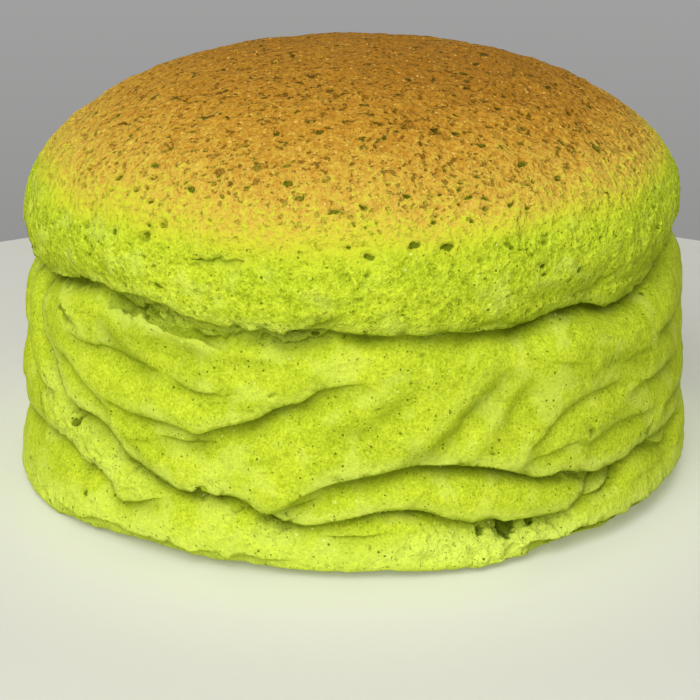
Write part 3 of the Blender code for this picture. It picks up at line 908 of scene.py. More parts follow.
@dataclass(frozen=True)
class PoreSowing:
    """Open pores of the crust. Radii and depths in millimetres, levels in metres.

    Some pores are dropped: half of them round the crust's edge, most of them below it.
    """

    seed: int = 5
    count: int = 3400
    smallest: float = 0.28
    largest: float = 0.85
    rarity: float = 3.2
    longest: float = 1.3
    level_above: float = 0.4
    lean: float = 0.3
    depth: float = 0.8
    crust_level: float = 8.0 * MM
    edge_level: float = 4.0 * MM
    edge_share: float = 0.45
    side_share: float = 0.06

    def kept(self, rise: float, crown_level: float) -> float:
        """Give the share of pores kept at a distance up the side.

        Args:
            rise: The distance up the side.
            crown_level: Where the crown is widest.

        Returns:
            The share.
        """
        if rise > crown_level + self.crust_level:
            return 1.0
        if rise > crown_level - self.edge_level:
            return self.edge_share
        return self.side_share if rise > 0.0 else 0.0

    def sow(self, share: Callable[[Array], float]) -> list[Pore]:
        """Draw the pores. Long ones lie nearly level.

        Args:
            share: Gives the share of pores kept at a direction from the middle.

        Returns:
            The pores.
        """
        draw = np.random.default_rng(self.seed)
        pores = []
        for _ in range(self.count):
            way = draw.normal(size=3)
            way /= np.linalg.norm(way)
            chance, size, long, turn, deep = draw.random(5)
            if chance > share(way):
                continue
            radius = self.smallest + (self.largest - self.smallest) * size**self.rarity
            lean = turn if long < self.level_above else self.lean * turn - 0.5 * self.lean
            pores.append(Pore(Vector(way), radius * MM, 1.0 + self.longest * long, math.pi * lean, deep))
        return pores


@dataclass(frozen=True)
class Browning:
    """How the cake is baked. Lengths in metres, angles in radians.

    The browned cap comes lower at the front than at the sides, and waves a little.
    """

    level: float = 68.0 * MM
    dip: float = 7.0 * MM
    front: float = math.radians(-14.0)
    front_width: float = math.radians(50.0)
    waves: float = 1.2 * MM
    wander: tuple[tuple[int, float, float], ...] = ((31, 14.0 * MM, 1.8 * MM), (37, 5.0 * MM, 0.9 * MM))
    full_share: float = 0.97
    darker_side: float = math.radians(110.0)

    def at(self, azimuth: Array, places: Array, height: float) -> Array:
        """Grade the baking of the skin.

        Args:
            azimuth: Azimuth of each point.
            places: The points.
            height: Height of the cake.

        Returns:
            Below 0 for green sponge, rising to 1 for brown crust.
        """
        front = np.exp(-((angle_between(azimuth, self.front) / self.front_width) ** 2))
        level = self.level - self.dip * front + self.waves * np.cos(3.0 * azimuth + 0.6) * (1.0 - front)
        wander = sum(SoftNoise(seed).layered(places, size) * amount for seed, size, amount in self.wander)
        full = self.full_share * height
        baked = (places[:, 2] + wander - level) / (full - level)
        # Less brown at the front and more towards the back right.
        turned = np.cos(azimuth - self.darker_side) * places[:, 2] / full
        return np.clip(baked * (1.12 - 0.12 * front + 0.14 * turned), -0.3, 1.15)


@dataclass(frozen=True)
class Crumb:
    """Fine relief of the skin, as depths in millimetres of each of its noises.

    The crown is pebbly, and most so round one azimuth at its right. The noises' sizes
    and the levels between which the foot's crumb comes and goes are in metres.
    """

    soft: float = 0.26
    soft_size: float = 6.0 * MM
    lumps: float = 0.10
    lump_size: float = 3.4 * MM
    grain_size: float = 1.4 * MM
    rough_size: float = 2.4 * MM
    crown: tuple[float, float] = (0.27, 0.14)
    torn: tuple[float, float, float] = (0.95, 0.30, 0.30)
    foot: tuple[float, float] = (0.30, 0.14)
    foot_levels: tuple[float, float, float] = (1.0 * MM, 2.0 * MM, 8.0 * MM)
    knobbly: float = 0.9
    knobbly_azimuth: float = math.radians(58.0)
    knobbly_width: float = math.radians(40.0)
    seed: int = 3

    def at(self, azimuth: Array, places: Array, rise: Array, crown: Array, torn: Array) -> Array:
        """Work out the relief.

        Args:
            azimuth: Azimuth of each point.
            places: The settled points.
            rise: Their distance up the side.
            crown: How far each belongs to the crown.
            torn: How torn each is.

        Returns:
            How far each point stands out, in metres.
        """
        noise = SoftNoise(self.seed)
        soft = noise.layered(places, self.soft_size)
        lumps = noise.layered(places + 2.2, self.lump_size, 2)
        grain = noise.at(places, self.grain_size)
        rough = noise.layered(places + 7.7, self.rough_size)
        whole, fading, gone = self.foot_levels
        foot = (1.0 - smoothstep(fading, gone, rise)) * smoothstep(0.0, whole, rise)
        turn = angle_between(azimuth, self.knobbly_azimuth) / self.knobbly_width
        relief = self.soft * soft + self.lumps * lumps
        pebbles = self.crown[0] * lumps + self.crown[1] * grain
        relief += crown * (1.0 + self.knobbly * np.exp(-(turn**2))) * pebbles
        relief += torn * (self.torn[0] * rough + self.torn[1] * grain - self.torn[2])
        relief += foot * (self.foot[0] * rough + self.foot[1] * grain)
        return relief * MM


@dataclass(frozen=True)
class BakeSheet:
    """The skin laid flat for baking: two halves of the side, the top and the base.

    Lengths in metres. The base is drawn smaller, because it's plain.
    """

    brim: float = 20.0 * MM
    gap: float = 4.0 * MM
    base_inset: float = 12.0 * MM
    base_rise: float = 28.0 * MM
    base_scale: float = 0.35
    base_margin: float = 0.5 * MM

    def places(self, outline: Outline, azimuth: Array, climb: Array) -> Array:
        """Lay out the corners of triangles.

        Args:
            outline: The cake's outline.
            azimuth: Azimuth of each corner, three to a row.
            climb: Length along the outline of each corner, three to a row.

        Returns:
            The corners' places on a sheet of size 1.
        """
        start, whole, radius = outline.side_start(), outline.whole(), outline.base_radius
        brim = start + outline.crown_level + self.brim
        face_climb = climb.mean(axis=1)
        face_azimuth = np.arctan2(np.sin(azimuth).mean(axis=1), np.cos(azimuth).mean(axis=1))
        half = math.pi * radius
        tall = brim - start + self.gap
        top_size = whole - brim + self.gap
        place = np.empty((*climb.shape, 2))
        for turn, row in ((0.0, 0.0), (math.pi, 1.0)):
            chosen = np.abs(angle_between(face_azimuth, turn)) <= math.pi / 2.0
            across = angle_between(azimuth[chosen], turn) * radius
            place[chosen, :, 0] = across + 0.5 * half + 0.5 * self.gap
            place[chosen, :, 1] = climb[chosen] - start + 0.5 * self.gap + row * tall
        top = (face_climb > brim, whole - climb, top_size, 2.0 * tall + top_size)
        below = face_climb < start - self.base_margin
        base = (below, climb * self.base_scale, half - self.base_inset, 2.0 * tall + self.base_rise)
        for chosen, reach, across, up in (top, base):
            place[chosen, :, 0] = across + (reach * np.sin(azimuth))[chosen]
            place[chosen, :, 1] = up - (reach * np.cos(azimuth))[chosen]
        return place / (2.0 * tall + 2.0 * top_size)


@dataclass
class CakeBody:
    """The cake itself: one closed skin with its folds, pores and crumbly foot.

    Lengths in metres, angles in radians. Of each mark the two levels are where it
    starts and ends.
    """

    outline: Outline
    foot: Foot = Foot()
    slump: Slump = Slump()
    drape: Drape = Drape()
    baking: Browning = Browning()
    crumb: Crumb = Crumb()
    pores: PoreSowing = PoreSowing()
    sheet: BakeSheet = BakeSheet()
    subdivisions: int = 9
    triangles: int = 196_000
    underside_tilt: float = math.radians(34.0)
    underside_power: int = 8
    crown_fade: float = 16.0 * MM
    drape_end: float = 4.0 * MM
    crown_mark: tuple[float, float] = (1.0 * MM, 3.0 * MM)
    foot_mark: tuple[float, float] = (3.0 * MM, 9.0 * MM)
    foot_start: float = 1.0 * MM
    # Where the painted shade on undersides starts and is full.
    under_shade_slope: float = 0.75
    under_shade_mark: tuple[float, float] = (1.0 * MM, 3.0 * MM)
    relief_start: float = 3.0 * MM
    pore_reach: float = 1.7
    pore_centre: float = 0.55
    pore_rough: float = 0.5
    pore_rough_size: float = 0.9 * MM
    pore_seed: int = 47

    def directions(self) -> tuple[bpy.types.Mesh, Array]:
        """Make a fine sphere.

        Returns:
            The sphere's mesh, and its points as unit directions.
        """
        mould = bmesh.new()
        bmesh.ops.create_icosphere(mould, subdivisions=self.subdivisions, radius=1.0)
        mesh = bpy.data.meshes.new("cake_skin")
        mould.to_mesh(mesh)
        mould.free()
        way = rows_of(mesh.vertices, "co")
        return mesh, way / np.linalg.norm(way, axis=1)[:, None]

    def climbs(self) -> tuple[float, float, float]:
        """Give the lengths along the outline at its start, the side's start and the top."""
        return (0.0, self.outline.side_start(), self.outline.whole())

    def tilts(self) -> tuple[float, float, float]:
        """Give the tilts of the directions that land there, from straight down."""
        return (0.0, self.underside_tilt, math.pi)

    def layout(self, way: Array) -> tuple[Array, Array]:
        """Give the azimuth and the length along the outline for directions.

        Args:
            way: Unit directions from the cake's middle.

        Returns:
            The azimuths, and the lengths from the middle of the underside.
        """
        azimuth = np.arctan2(way[:, 0], -way[:, 1])
        tilt = np.arccos(np.clip(-way[:, 2], -1.0, 1.0))
        return azimuth, np.interp(tilt, self.tilts(), self.climbs())

    def way_to(self, azimuth: float, height: float) -> Array:
        """Give the direction that lands at a place on the skin.

        Args:
            azimuth: Azimuth of the place, in degrees.
            height: Height of the place, in metres.

        Returns:
            The unit direction.
        """
        _, heights, lengths = self.outline.curve()
        upper = heights > 0.0
        climb = float(np.interp(height, heights[upper], lengths[upper]))
        tilt = float(np.interp(climb, self.climbs(), self.tilts()))
        turn = math.radians(azimuth)
        level = math.sin(tilt)
        return np.array((level * math.sin(turn), -level * math.cos(turn), -math.cos(tilt)))

    def settled(self, way: Array) -> tuple[Array, Array, Array]:
        """Place points with the folds and slow bulges, but without crumb or pores.

        Args:
            way: Unit directions from the cake's middle.

        Returns:
            The points, the painted shade of creases and the painted highlight of hanging edges.
        """
        radius, height, length = self.outline.curve()
        azimuth, climb = self.layout(way)
        r = np.interp(climb, length, radius)
        z = np.interp(climb, length, height)
        normal_r = np.interp(climb, length, np.gradient(height, length))
        normal_z = -np.interp(climb, length, np.gradient(radius, length))
        base = self.outline.base_radius
        lap = 2.0 * math.pi * base
        girth = azimuth * base
        rise = climb - self.outline.side_start()
        side = smoothstep(0.0, self.outline.edge, rise)
        level = np.maximum(rise, self.outline.edge)
        crown_level = self.outline.crown_level
        crown = smoothstep(crown_level, crown_level + self.crown_fade, rise)
        press = FoldPress(girth, level, lap, self.torn(azimuth, rise))
        for fold in (CROWN_CREASE, *FRONT_FOLDS, *CROWN_FOLDS, *BACK_FOLDS, *FoldScatter().folds()):
            press.press(fold)
        outwards, around, upwards, shade, rim = press.result()
        outwards += self.slump.at(girth, level, lap, self.outline.height) * (1.0 - crown)
        plain = turned(r, azimuth, z)
        outwards += self.drape.at(azimuth, level, plain, crown_level - self.drape_end)
        flare = np.exp(-((level / self.foot.height) ** 2))
        outwards += self.foot.skirt * flare
        for middle, width, amount in self.foot.flares:
            turn = angle_between(azimuth, math.radians(middle)) / math.radians(width)
            outwards += amount * MM * flare * np.exp(-(turn**2))
        lift = self.foot.raised(plain, r, base)
        under = (1.0 - side) * np.clip(r / base, 0.0, 1.0) ** self.underside_power
        placed_r = r + outwards * (normal_r * side + under) - upwards * side * normal_z
        placed_z = z + outwards * normal_z * side + upwards * side * normal_r + lift
        places = turned(placed_r, azimuth + around * side / base, placed_z)
        return places, shade * side, rim * side

    def crown(self, azimuth: Array, rise: Array) -> Array:
        """Grade what belongs to the crown.

        Args:
            azimuth: Azimuth of each point.
            rise: Its distance up the side.

        Returns:
            0 below the crown's crease, rising to 1 above it.
        """
        line = np.array(CROWN_CREASE.line)
        level = np.interp(np.degrees(azimuth), line[:, 0], line[:, 1], period=360.0) * MM
        return smoothstep(level - self.crown_mark[0], level + self.crown_mark[1], rise)

    def torn(self, azimuth: Array, rise: Array) -> Array:
        """Grade how torn the skin is.

        Args:
            azimuth: Azimuth of each point.
            rise: Its distance up the side.

        Returns:
            0 for whole skin, rising to 1 for open crumb.
        """
        total = np.zeros(len(azimuth))
        for patch in TORN_PATCHES:
            total = np.maximum(total, patch.at(azimuth, rise, self.outline.base_radius))
        return total

    def pore_share(self, direction: Array) -> float:
        """Give the share of pores kept at a direction from the cake's middle."""
        rise = self.layout(direction[None, :])[1][0] - self.outline.side_start()
        return self.pores.kept(rise, self.outline.crown_level)

    def open_pores(self, places: Array, way: Array) -> Array:
        """Work out how deep each point lies in a pore.

        Args:
            places: The settled points.
            way: Their unit directions from the cake's middle.

        Returns:
            0 outside the pores, up to about 1 in the deepest.
        """
        tree = KDTree(len(way))
        for index, direction in enumerate(way):
            tree.insert(direction, index)
        tree.balance()
        noise = SoftNoise(self.pore_seed)
        scale = math.pi / self.outline.whole()
        craters = [crater.pore(self.way_to(crater.azimuth, crater.height * MM)) for crater in CRATERS]
        centre = np.array((0.0, 0.0, self.pore_centre * self.outline.height))
        total = np.zeros(len(way))
        for pore in self.pores.sow(self.pore_share) + craters:
            near = tree.find_range(pore.direction, pore.radius * pore.stretch * self.pore_reach * scale)
            if not near:
                continue
            index = np.array([item[1] for item in near])
            middle = places[near[int(np.argmin([item[2] for item in near]))][1]]
            offset = places[index] - middle
            normal = middle - centre
            normal /= np.linalg.norm(normal)
            east = np.cross((0.0, 0.0, 1.0), normal)
            east /= np.linalg.norm(east) + LEAST_NORM
            u = offset @ east
            v = offset @ np.cross(normal, east)
            along = u * math.cos(pore.turn) + v * math.sin(pore.turn)
            over = v * math.cos(pore.turn) - u * math.sin(pore.turn)
            rough = 1.0 + self.pore_rough * noise.at(places[index], self.pore_rough_size)
            total[index] = np.maximum(total[index], pore.bowl(along, over, rough))
        return total

    def build(self, low: Vector, high: Vector) -> bpy.types.Object:
        """Make the cake's mesh at full detail and thin it to its final size.

        Args:
            low: Lowest corner of the box that the cake fills.
            high: Highest corner of that box.

        Returns:
            The cake, with its marks and its bake layout.
        """
        mesh, way = self.directions()
        places, shade, rim = self.settled(way)
        self.place(mesh, places)
        normals = rows_of(mesh.vertices, "normal")
        azimuth, climb = self.layout(way)
        rise = climb - self.outline.side_start()
        crown = self.crown(azimuth, rise)
        torn = self.torn(azimuth, rise)
        pores = self.open_pores(places, way)
        foot = (1.0 - smoothstep(*self.foot_mark, rise)) * smoothstep(-self.foot_start, 0.0, rise)
        # Painted shade on surfaces that face down.
        under = smoothstep(0.0, self.under_shade_slope, -normals[:, 2]) * smoothstep(*self.under_shade_mark, rise)
        browning = self.baking.at(azimuth, places, self.outline.height)
        for name, values in zip(MARKS, (browning, crown, pores, shade, torn, foot, rim, under)):
            mesh.attributes.new(name, "FLOAT", "POINT").data.foreach_set("value", values)
        mesh.attributes.new("way", "FLOAT_VECTOR", "POINT").data.foreach_set("vector", way.ravel())
        relief = self.crumb.at(azimuth, places, rise, crown, torn) - self.pores.depth * MM * pores
        relief *= smoothstep(-self.relief_start, 0.0, rise)
        places = places + normals * relief[:, None]
        places[:, 2] = np.where(rise <= 0.0, np.maximum(places[:, 2], 0.0), places[:, 2])
        self.place(mesh, places)
        cake = bpy.data.objects.new("cake_body", mesh)
        bpy.context.scene.collection.objects.link(cake)
        self.thin_out(cake)
        self.fit(cake.data, low, high)
        self.lay_out(cake.data)
        cake.data.shade_smooth()
        return cake

    def place(self, mesh: bpy.types.Mesh, places: Array) -> None:
        """Move a mesh's points to their places."""
        mesh.vertices.foreach_set("co", places.ravel())
        mesh.update()

    def thin_out(self, cake: bpy.types.Object) -> None:
        """Leave out triangles where the skin hardly bends.

        Args:
            cake: The cake, whose mesh is replaced.
        """
        decimate = cake.modifiers.new("Thin out", "DECIMATE")
        decimate.ratio = self.triangles / len(cake.data.polygons)
        depsgraph = bpy.context.evaluated_depsgraph_get()
        thinned = bpy.data.meshes.new_from_object(cake.evaluated_get(depsgraph))
        cake.modifiers.clear()
        full = cake.data
        cake.data = thinned
        bpy.data.meshes.remove(full)

    def fit(self, mesh: bpy.types.Mesh, low: Vector, high: Vector) -> None:
        """Scale a mesh so that it fills a box exactly.

        Args:
            mesh: The mesh, which is changed.
            low: Lowest corner of the box.
            high: Highest corner of the box.
        """
        places = rows_of(mesh.vertices, "co")
        own_low, own_high = places.min(axis=0), places.max(axis=0)
        scale = (np.array(high) - np.array(low)) / (own_high - own_low)
        self.place(mesh, (places - own_low) * scale + np.array(low))

    def lay_out(self, mesh: bpy.types.Mesh) -> None:
        """Lay the skin flat for baking.

        Args:
            mesh: The cake's mesh, which has each point's direction as an attribute.
        """
        way = rows_of(mesh.attributes["way"].data, "vector")
        azimuth, climb = self.layout(way / np.linalg.norm(way, axis=1)[:, None])
        corners = np.empty(len(mesh.loops), dtype=np.int64)
        mesh.loops.foreach_get("vertex_index", corners)
        corners = corners.reshape(-1, 3)
        sheet = self.sheet.places(self.outline, azimuth[corners], climb[corners])
        mesh.uv_layers.new(name="OFBake").data.foreach_set("uv", sheet.ravel())


# ---------------------------------------------------------------- shader building


class Wire:
    """A shader socket that can be used in plain expressions."""

    def __init__(self, bench: "NodeBench", socket: bpy.types.NodeSocket) -> None:
        """Keep the socket and the bench that its node stands on."""
        self.bench = bench
        self.socket = socket

    def math(self, operation: str, *others: "Wire | float", clamp: bool = False) -> "Wire":
        """Combine this wire with others in a Math node."""
        return self.bench.math(operation, (self, *others), clamp)

    def __add__(self, other: "Wire | float") -> "Wire":
        """Add."""
        return self.math("ADD", other)

    __radd__ = __add__

    def __sub__(self, other: "Wire | float") -> "Wire":
        """Subtract."""
        return self.math("SUBTRACT", other)

    def __rsub__(self, other: float) -> "Wire":
        """Subtract from a number."""
        return self.bench.math("SUBTRACT", (other, self))

    def __mul__(self, other: "Wire | float") -> "Wire":
        """Multiply."""
        return self.math("MULTIPLY", other)

    __rmul__ = __mul__

    def __truediv__(self, other: "Wire | float") -> "Wire":
        """Divide."""
        return self.math("DIVIDE", other)

    def clamped(self) -> "Wire":
        """Keep between 0 and 1."""
        return self.math("ADD", 0.0, clamp=True)

    def most(self, other: "Wire | float") -> "Wire":
        """Take the larger of two."""
        return self.math("MAXIMUM", other)

    def beside(self, name: str) -> "Wire":
        """Give another output of the same node."""
        return Wire(self.bench, self.socket.node.outputs[name])

    def ramp(self, low: float, high: float) -> "Wire":
        """Grade between two limits with soft ends.

        Args:
            low: Where the grade is 0.
            high: Where it is 1. It may be the smaller limit, and then the grade falls.

        Returns:
            The grade.
        """
        falls = low > high
        sockets = {
            "Value": self,
            "From Min": min(low, high),
            "From Max": max(low, high),
            "To Min": 1.0 if falls else 0.0,
            "To Max": 0.0 if falls else 1.0,
        }
        return self.bench.node("ShaderNodeMapRange", {"interpolation_type": "SMOOTHSTEP"}, sockets, "Result")


Wires = dict[str, Wire]


class NodeBench:
    """Adds nodes to one node tree."""

    def __init__(self, tree: bpy.types.NodeTree) -> None:
        """Clear the tree and keep it."""
        self.tree = tree
        tree.nodes.clear()

    def node(
        self,
        kind: str,
        settings: dict[str, object] | None = None,
        sockets: Sequence[object] | dict[str | int, object] = (),
        result: str | int = 0,
    ) -> Wire | None:
        """Add a node of any type.

        Args:
            kind: The node's type.
            settings: The node's own settings, which are set first. "stops" are a ramp's
                positions and colours.
            sockets: Values or wires for its inputs, in order, by name or by number.
            result: The output to use.

        Returns:
            The chosen output, or None for a node that has none.
        """
        made = self.tree.nodes.new(kind)
        for name, value in (settings or {}).items():
            if name == "stops":
                elements = made.color_ramp.elements
                while len(elements) < len(value):
                    elements.new(0.5)
                for element, (position, shade) in zip(elements, value):
                    element.position = position
                    element.color = (*shade, 1.0)
            else:
                setattr(made, name, value)
        for name, value in sockets.items() if isinstance(sockets, dict) else enumerate(sockets):
            if isinstance(value, Wire):
                self.tree.links.new(value.socket, made.inputs[name])
            else:
                made.inputs[name].default_value = value
        return Wire(self, made.outputs[result]) if made.outputs else None

    def math(self, operation: str, values: Sequence[Wire | float], clamp: bool = False) -> Wire:
        """Combine wires and numbers in a Math node."""
        return self.node("ShaderNodeMath", {"operation": operation, "use_clamp": clamp}, values)

    def mix(self, share: Wire, first: Wire | Colour, second: Wire | Colour) -> Wire:
        """Mix two colours.

        Args:
            share: How much of the second.
            first: The first colour, as a wire or as red, green and blue.
            second: The second.

        Returns:
            The mixed colour.
        """
        first, second = (side if isinstance(side, Wire) else (*side, 1.0) for side in (first, second))
        return self.node("ShaderNodeMix", {"data_type": "RGBA"}, {"Factor": share, 6: first, 7: second}, 2)


class Dresser(NodeBench):
    """Builds one material's nodes, in coordinates that count millimetres."""

    def __init__(self, name: str) -> None:
        """Start an empty material.

        Args:
            name: The material's name.
        """
        self.material = bpy.data.materials.new(name)
        self.material.use_nodes = True
        super().__init__(self.material.node_tree)

    def mark(self, name: str) -> Wire:
        """Read a number that the mesh carries at its points."""
        return self.node("ShaderNodeAttribute", {"attribute_name": name}, result="Fac")

    def places(self, shift: Vector3 = (0.0, 0.0, 0.0)) -> Wire:
        """Give the piece's own coordinates in millimetres, shifted."""
        own = self.node("ShaderNodeTexCoord", result="Object")
        return self.node("ShaderNodeVectorMath", {"operation": "MULTIPLY_ADD"}, (own, (1.0 / MM,) * 3, shift))

    def noise(self, where: Wire, scale: float, detail: float = 2.0, roughness: float = 0.5) -> Wire:
        """Read soft noise, about 0.5 on average."""
        sockets = {"Vector": where, "Scale": scale, "Detail": detail, "Roughness": roughness}
        return self.node("ShaderNodeTexNoise", None, sockets, "Fac")

    def bent(self, where: Wire, scale: float, amount: float) -> Wire:
        """Bend coordinates by noise, so that cells lose their round shape.

        Args:
            where: Coordinates.
            scale: Bends to a millimetre.
            amount: How far they bend, in millimetres.

        Returns:
            The bent coordinates.
        """
        sockets = {"Vector": where, "Scale": scale, "Detail": 2.0}
        swirl = self.node("ShaderNodeTexNoise", None, sockets, "Color")
        return self.node("ShaderNodeVectorMath", {"operation": "MULTIPLY_ADD"}, (swirl, (amount,) * 3, where))

    def holes(self, where: Wire, scale: float, rarest: float, widest: float) -> Wire:
        """Grade small round holes of random sizes, from 0 outside to 1 inside.

        Args:
            where: Coordinates.
            scale: Cells to a millimetre.
            rarest: How many of the cells have no hole, as a share.
            widest: Radius of the widest hole, in cells.

        Returns:
            The grade.
        """
        cell = {"Vector": where, "Scale": scale}
        gap = self.node("ShaderNodeTexVoronoi", {"feature": "F1"}, cell, "Distance")
        chance = self.node("ShaderNodeSeparateColor", None, (gap.beside("Color"),), "Red")
        radius = (chance - rarest).most(0.0) * (widest / (1.0 - rarest))
        return ((radius - gap) / (0.35 * widest) + 0.5).clamped() * chance.math("GREATER_THAN", rarest)

    def covered(self, colour: Wire, layers: Sequence[tuple[Wire, Wire | Colour]]) -> Wire:
        """Lay colours over a colour, one after the other.

        Args:
            colour: The lowest colour.
            layers: For each layer how much of it shows, and its colour.

        Returns:
            The colour.
        """
        for share, shade in layers:
            colour = self.mix(share, colour, shade)
        return colour

    def dress(self, sockets: dict[str, object]) -> bpy.types.Material:
        """Finish the material.

        Args:
            sockets: Values or wires for the Principled shader.

        Returns:
            The material.
        """
        shader = self.node("ShaderNodeBsdfPrincipled", None, sockets, "BSDF")
        self.node("ShaderNodeOutputMaterial", None, {"Surface": shader})
        return self.material


@dataclass(frozen=True)
class SpongeGround:
    """What the sponge's finish works from.

    Two sets of coordinates, which lie apart from each other, and the marks that the
    mesh carries together with the finish's own noises and grades.
    """

    make: Dresser
    where: Wire
    apart: Wire
    grades: Wires


@dataclass(frozen=True)
class SpongeFinish:
    """Green sponge with pinholes, under a crust that goes from yellow to brown."""

    green: Colour = (0.48, 0.59, 0.022)
    pale_green: Colour = (0.63, 0.745, 0.040)
    # Also the colour of the painted shade on undersides.
    deep_green: Colour = (0.29, 0.385, 0.006)
    crumb_green: Colour = (0.61, 0.735, 0.090)
    # Colour of the painted highlight along hanging edges.
    lip_highlight: Colour = (0.56, 0.66, 0.12)
    velvet: Colour = (0.66, 0.765, 0.12)
    fleck: Colour = (0.76, 0.85, 0.23)
    # Also the colour of the painted shade in the creases.
    olive: Colour = (0.145, 0.19, 0.003)
    yellow_green: Colour = (0.56, 0.585, 0.028)
    yellow: Colour = (0.58, 0.475, 0.042)
    gold: Colour = (0.57, 0.365, 0.045)
    tan: Colour = (0.45, 0.225, 0.020)
    brown: Colour = (0.325, 0.145, 0.012)
    # Colour of the painted glints on the crust.
    highlight: Colour = (0.76, 0.52, 0.115)
    smudge: Colour = (0.160, 0.080, 0.003)
    pore_brown: Colour = (0.050, 0.045, 0.001)
    pore_green: Colour = (0.085, 0.13, 0.001)

    def material(self) -> bpy.types.Material:
        """Build the material.

        Returns:
            The material, which reads the marks that the cake's mesh carries.
        """
        make = Dresser("green_sponge")
        where = make.places()
        apart = make.places((31.0, 7.0, 3.0))
        marks = {name: make.mark(name) for name in MARKS}
        crust = marks["browning"].ramp(0.0, 0.35)
        coarse = (marks["torn"] + marks["foot"] * 0.6).clamped()
        grades = marks | {
            "broad": make.noise(where, 0.075, 3.0) - 0.5,
            "mottle": make.noise(where, 0.30, 2.0) - 0.5,
            "lumps": make.noise(apart, 0.62, 2.0) - 0.5,
            "speck": make.noise(where, 1.0, 2.0, 0.55) - 0.5,
            "grain": make.noise(where, 2.1, 3.0, 0.6) - 0.5,
            "crowding": make.noise(apart, 0.11, 2.0),
            "crust": crust,
            "coarse": coarse,
            "open": (marks["crown"] * 0.6 + coarse * 0.5 + crust * 0.4).clamped(),
        }
        ground = SpongeGround(make, where, apart, grades)
        pores = self.pores(ground)
        shift = marks["browning"] + grades["mottle"] * 0.3 + grades["lumps"] * 0.2
        skin = make.mix(shift.ramp(-0.12, 0.12), self.side(ground), self.baked(ground))
        height = self.relief(grades, pores)
        bump = make.node("ShaderNodeBump", None, {"Distance": 1.0 * MM, "Height": height}, "Normal")
        return make.dress(
            {
                "Base Color": self.pitted(ground, skin, pores),
                "Roughness": 0.90 - crust * 0.15 + grades["grain"] * 0.2,
                "Normal": bump,
                "IOR": 1.4,
                "Specular IOR Level": 0.09,
                "Subsurface Weight": 0.10,
                "Subsurface Radius": (1.0, 1.0, 0.35),
                "Subsurface Scale": 0.9 * MM,
            }
        )

    def side(self, ground: SpongeGround) -> Wire:
        """Colour the green sponge: its tone differs at random and is pale on the bumps and deep
        between them, partly painted light and shade; fold edges get a painted highlight, and
        creases and undersides painted shade.

        Args:
            ground: What the finish works from.

        Returns:
            The colour.
        """
        make, grades = ground.make, ground.grades
        rough = (grades["coarse"] + grades["crown"]).clamped()
        # The tone partly follows the bumps of the relief, which paints their light and shade.
        tone_and_bump_light = grades["broad"] * 0.50 + grades["mottle"] * 0.40
        tone_and_bump_light = tone_and_bump_light + grades["lumps"] * (0.40 + rough * 0.45)
        tone_and_bump_light = tone_and_bump_light + grades["speck"] * (0.60 + rough * 0.55) + grades["grain"] * 1.9
        layers = (
            (make.noise(ground.apart, 0.15, 3.0).ramp(0.50, 0.66) * 0.35, self.velvet),
            ((grades["torn"] * 0.5 + grades["foot"] * 0.55).clamped(), self.crumb_green),
            # Painted highlight along hanging edges.
            ((grades["rim"] * 0.5).clamped(), self.lip_highlight),
            # Painted shade on undersides.
            (grades["under"] * 0.80, self.deep_green),
            # Painted shade in the creases.
            ((grades["crease"] * 0.29).clamped(), self.olive),
        )
        return make.covered(make.mix((tone_and_bump_light + 0.5).clamped(), self.deep_green, self.pale_green), layers)

    def baked(self, ground: SpongeGround) -> Wire:
        """Colour the crust, which browns unevenly from lump to lump and is lighter on the
        bumps, partly painted light, with painted glints.

        Args:
            ground: What the finish works from.

        Returns:
            The colour.
        """
        make, grades = ground.make, ground.grades
        # Lighter on the bumps of the relief: partly uneven browning, partly painted light.
        uneven_and_bump_light = grades["mottle"] * 0.4 + grades["lumps"] * 0.8
        uneven_and_bump_light = uneven_and_bump_light + grades["speck"] * 1.2 + grades["grain"] * 1.4
        stage = grades["browning"] * 0.84 + 0.10 - uneven_and_bump_light * (0.12 + 0.44 * grades["crust"])
        shades = (self.green, self.yellow_green, self.yellow, self.gold, self.tan, self.brown)
        stops = tuple(zip((0.0, 0.14, 0.27, 0.42, 0.70, 1.0), shades))
        colour = make.node("ShaderNodeValToRGB", {"stops": stops}, (stage,), "Color")
        # Painted glints on the crust.
        glint = make.holes(make.bent(ground.apart, 1.6, 1.0), 1.05, 0.45, 0.34) * grades["crust"]
        return make.mix(glint * 0.60, colour, self.highlight)

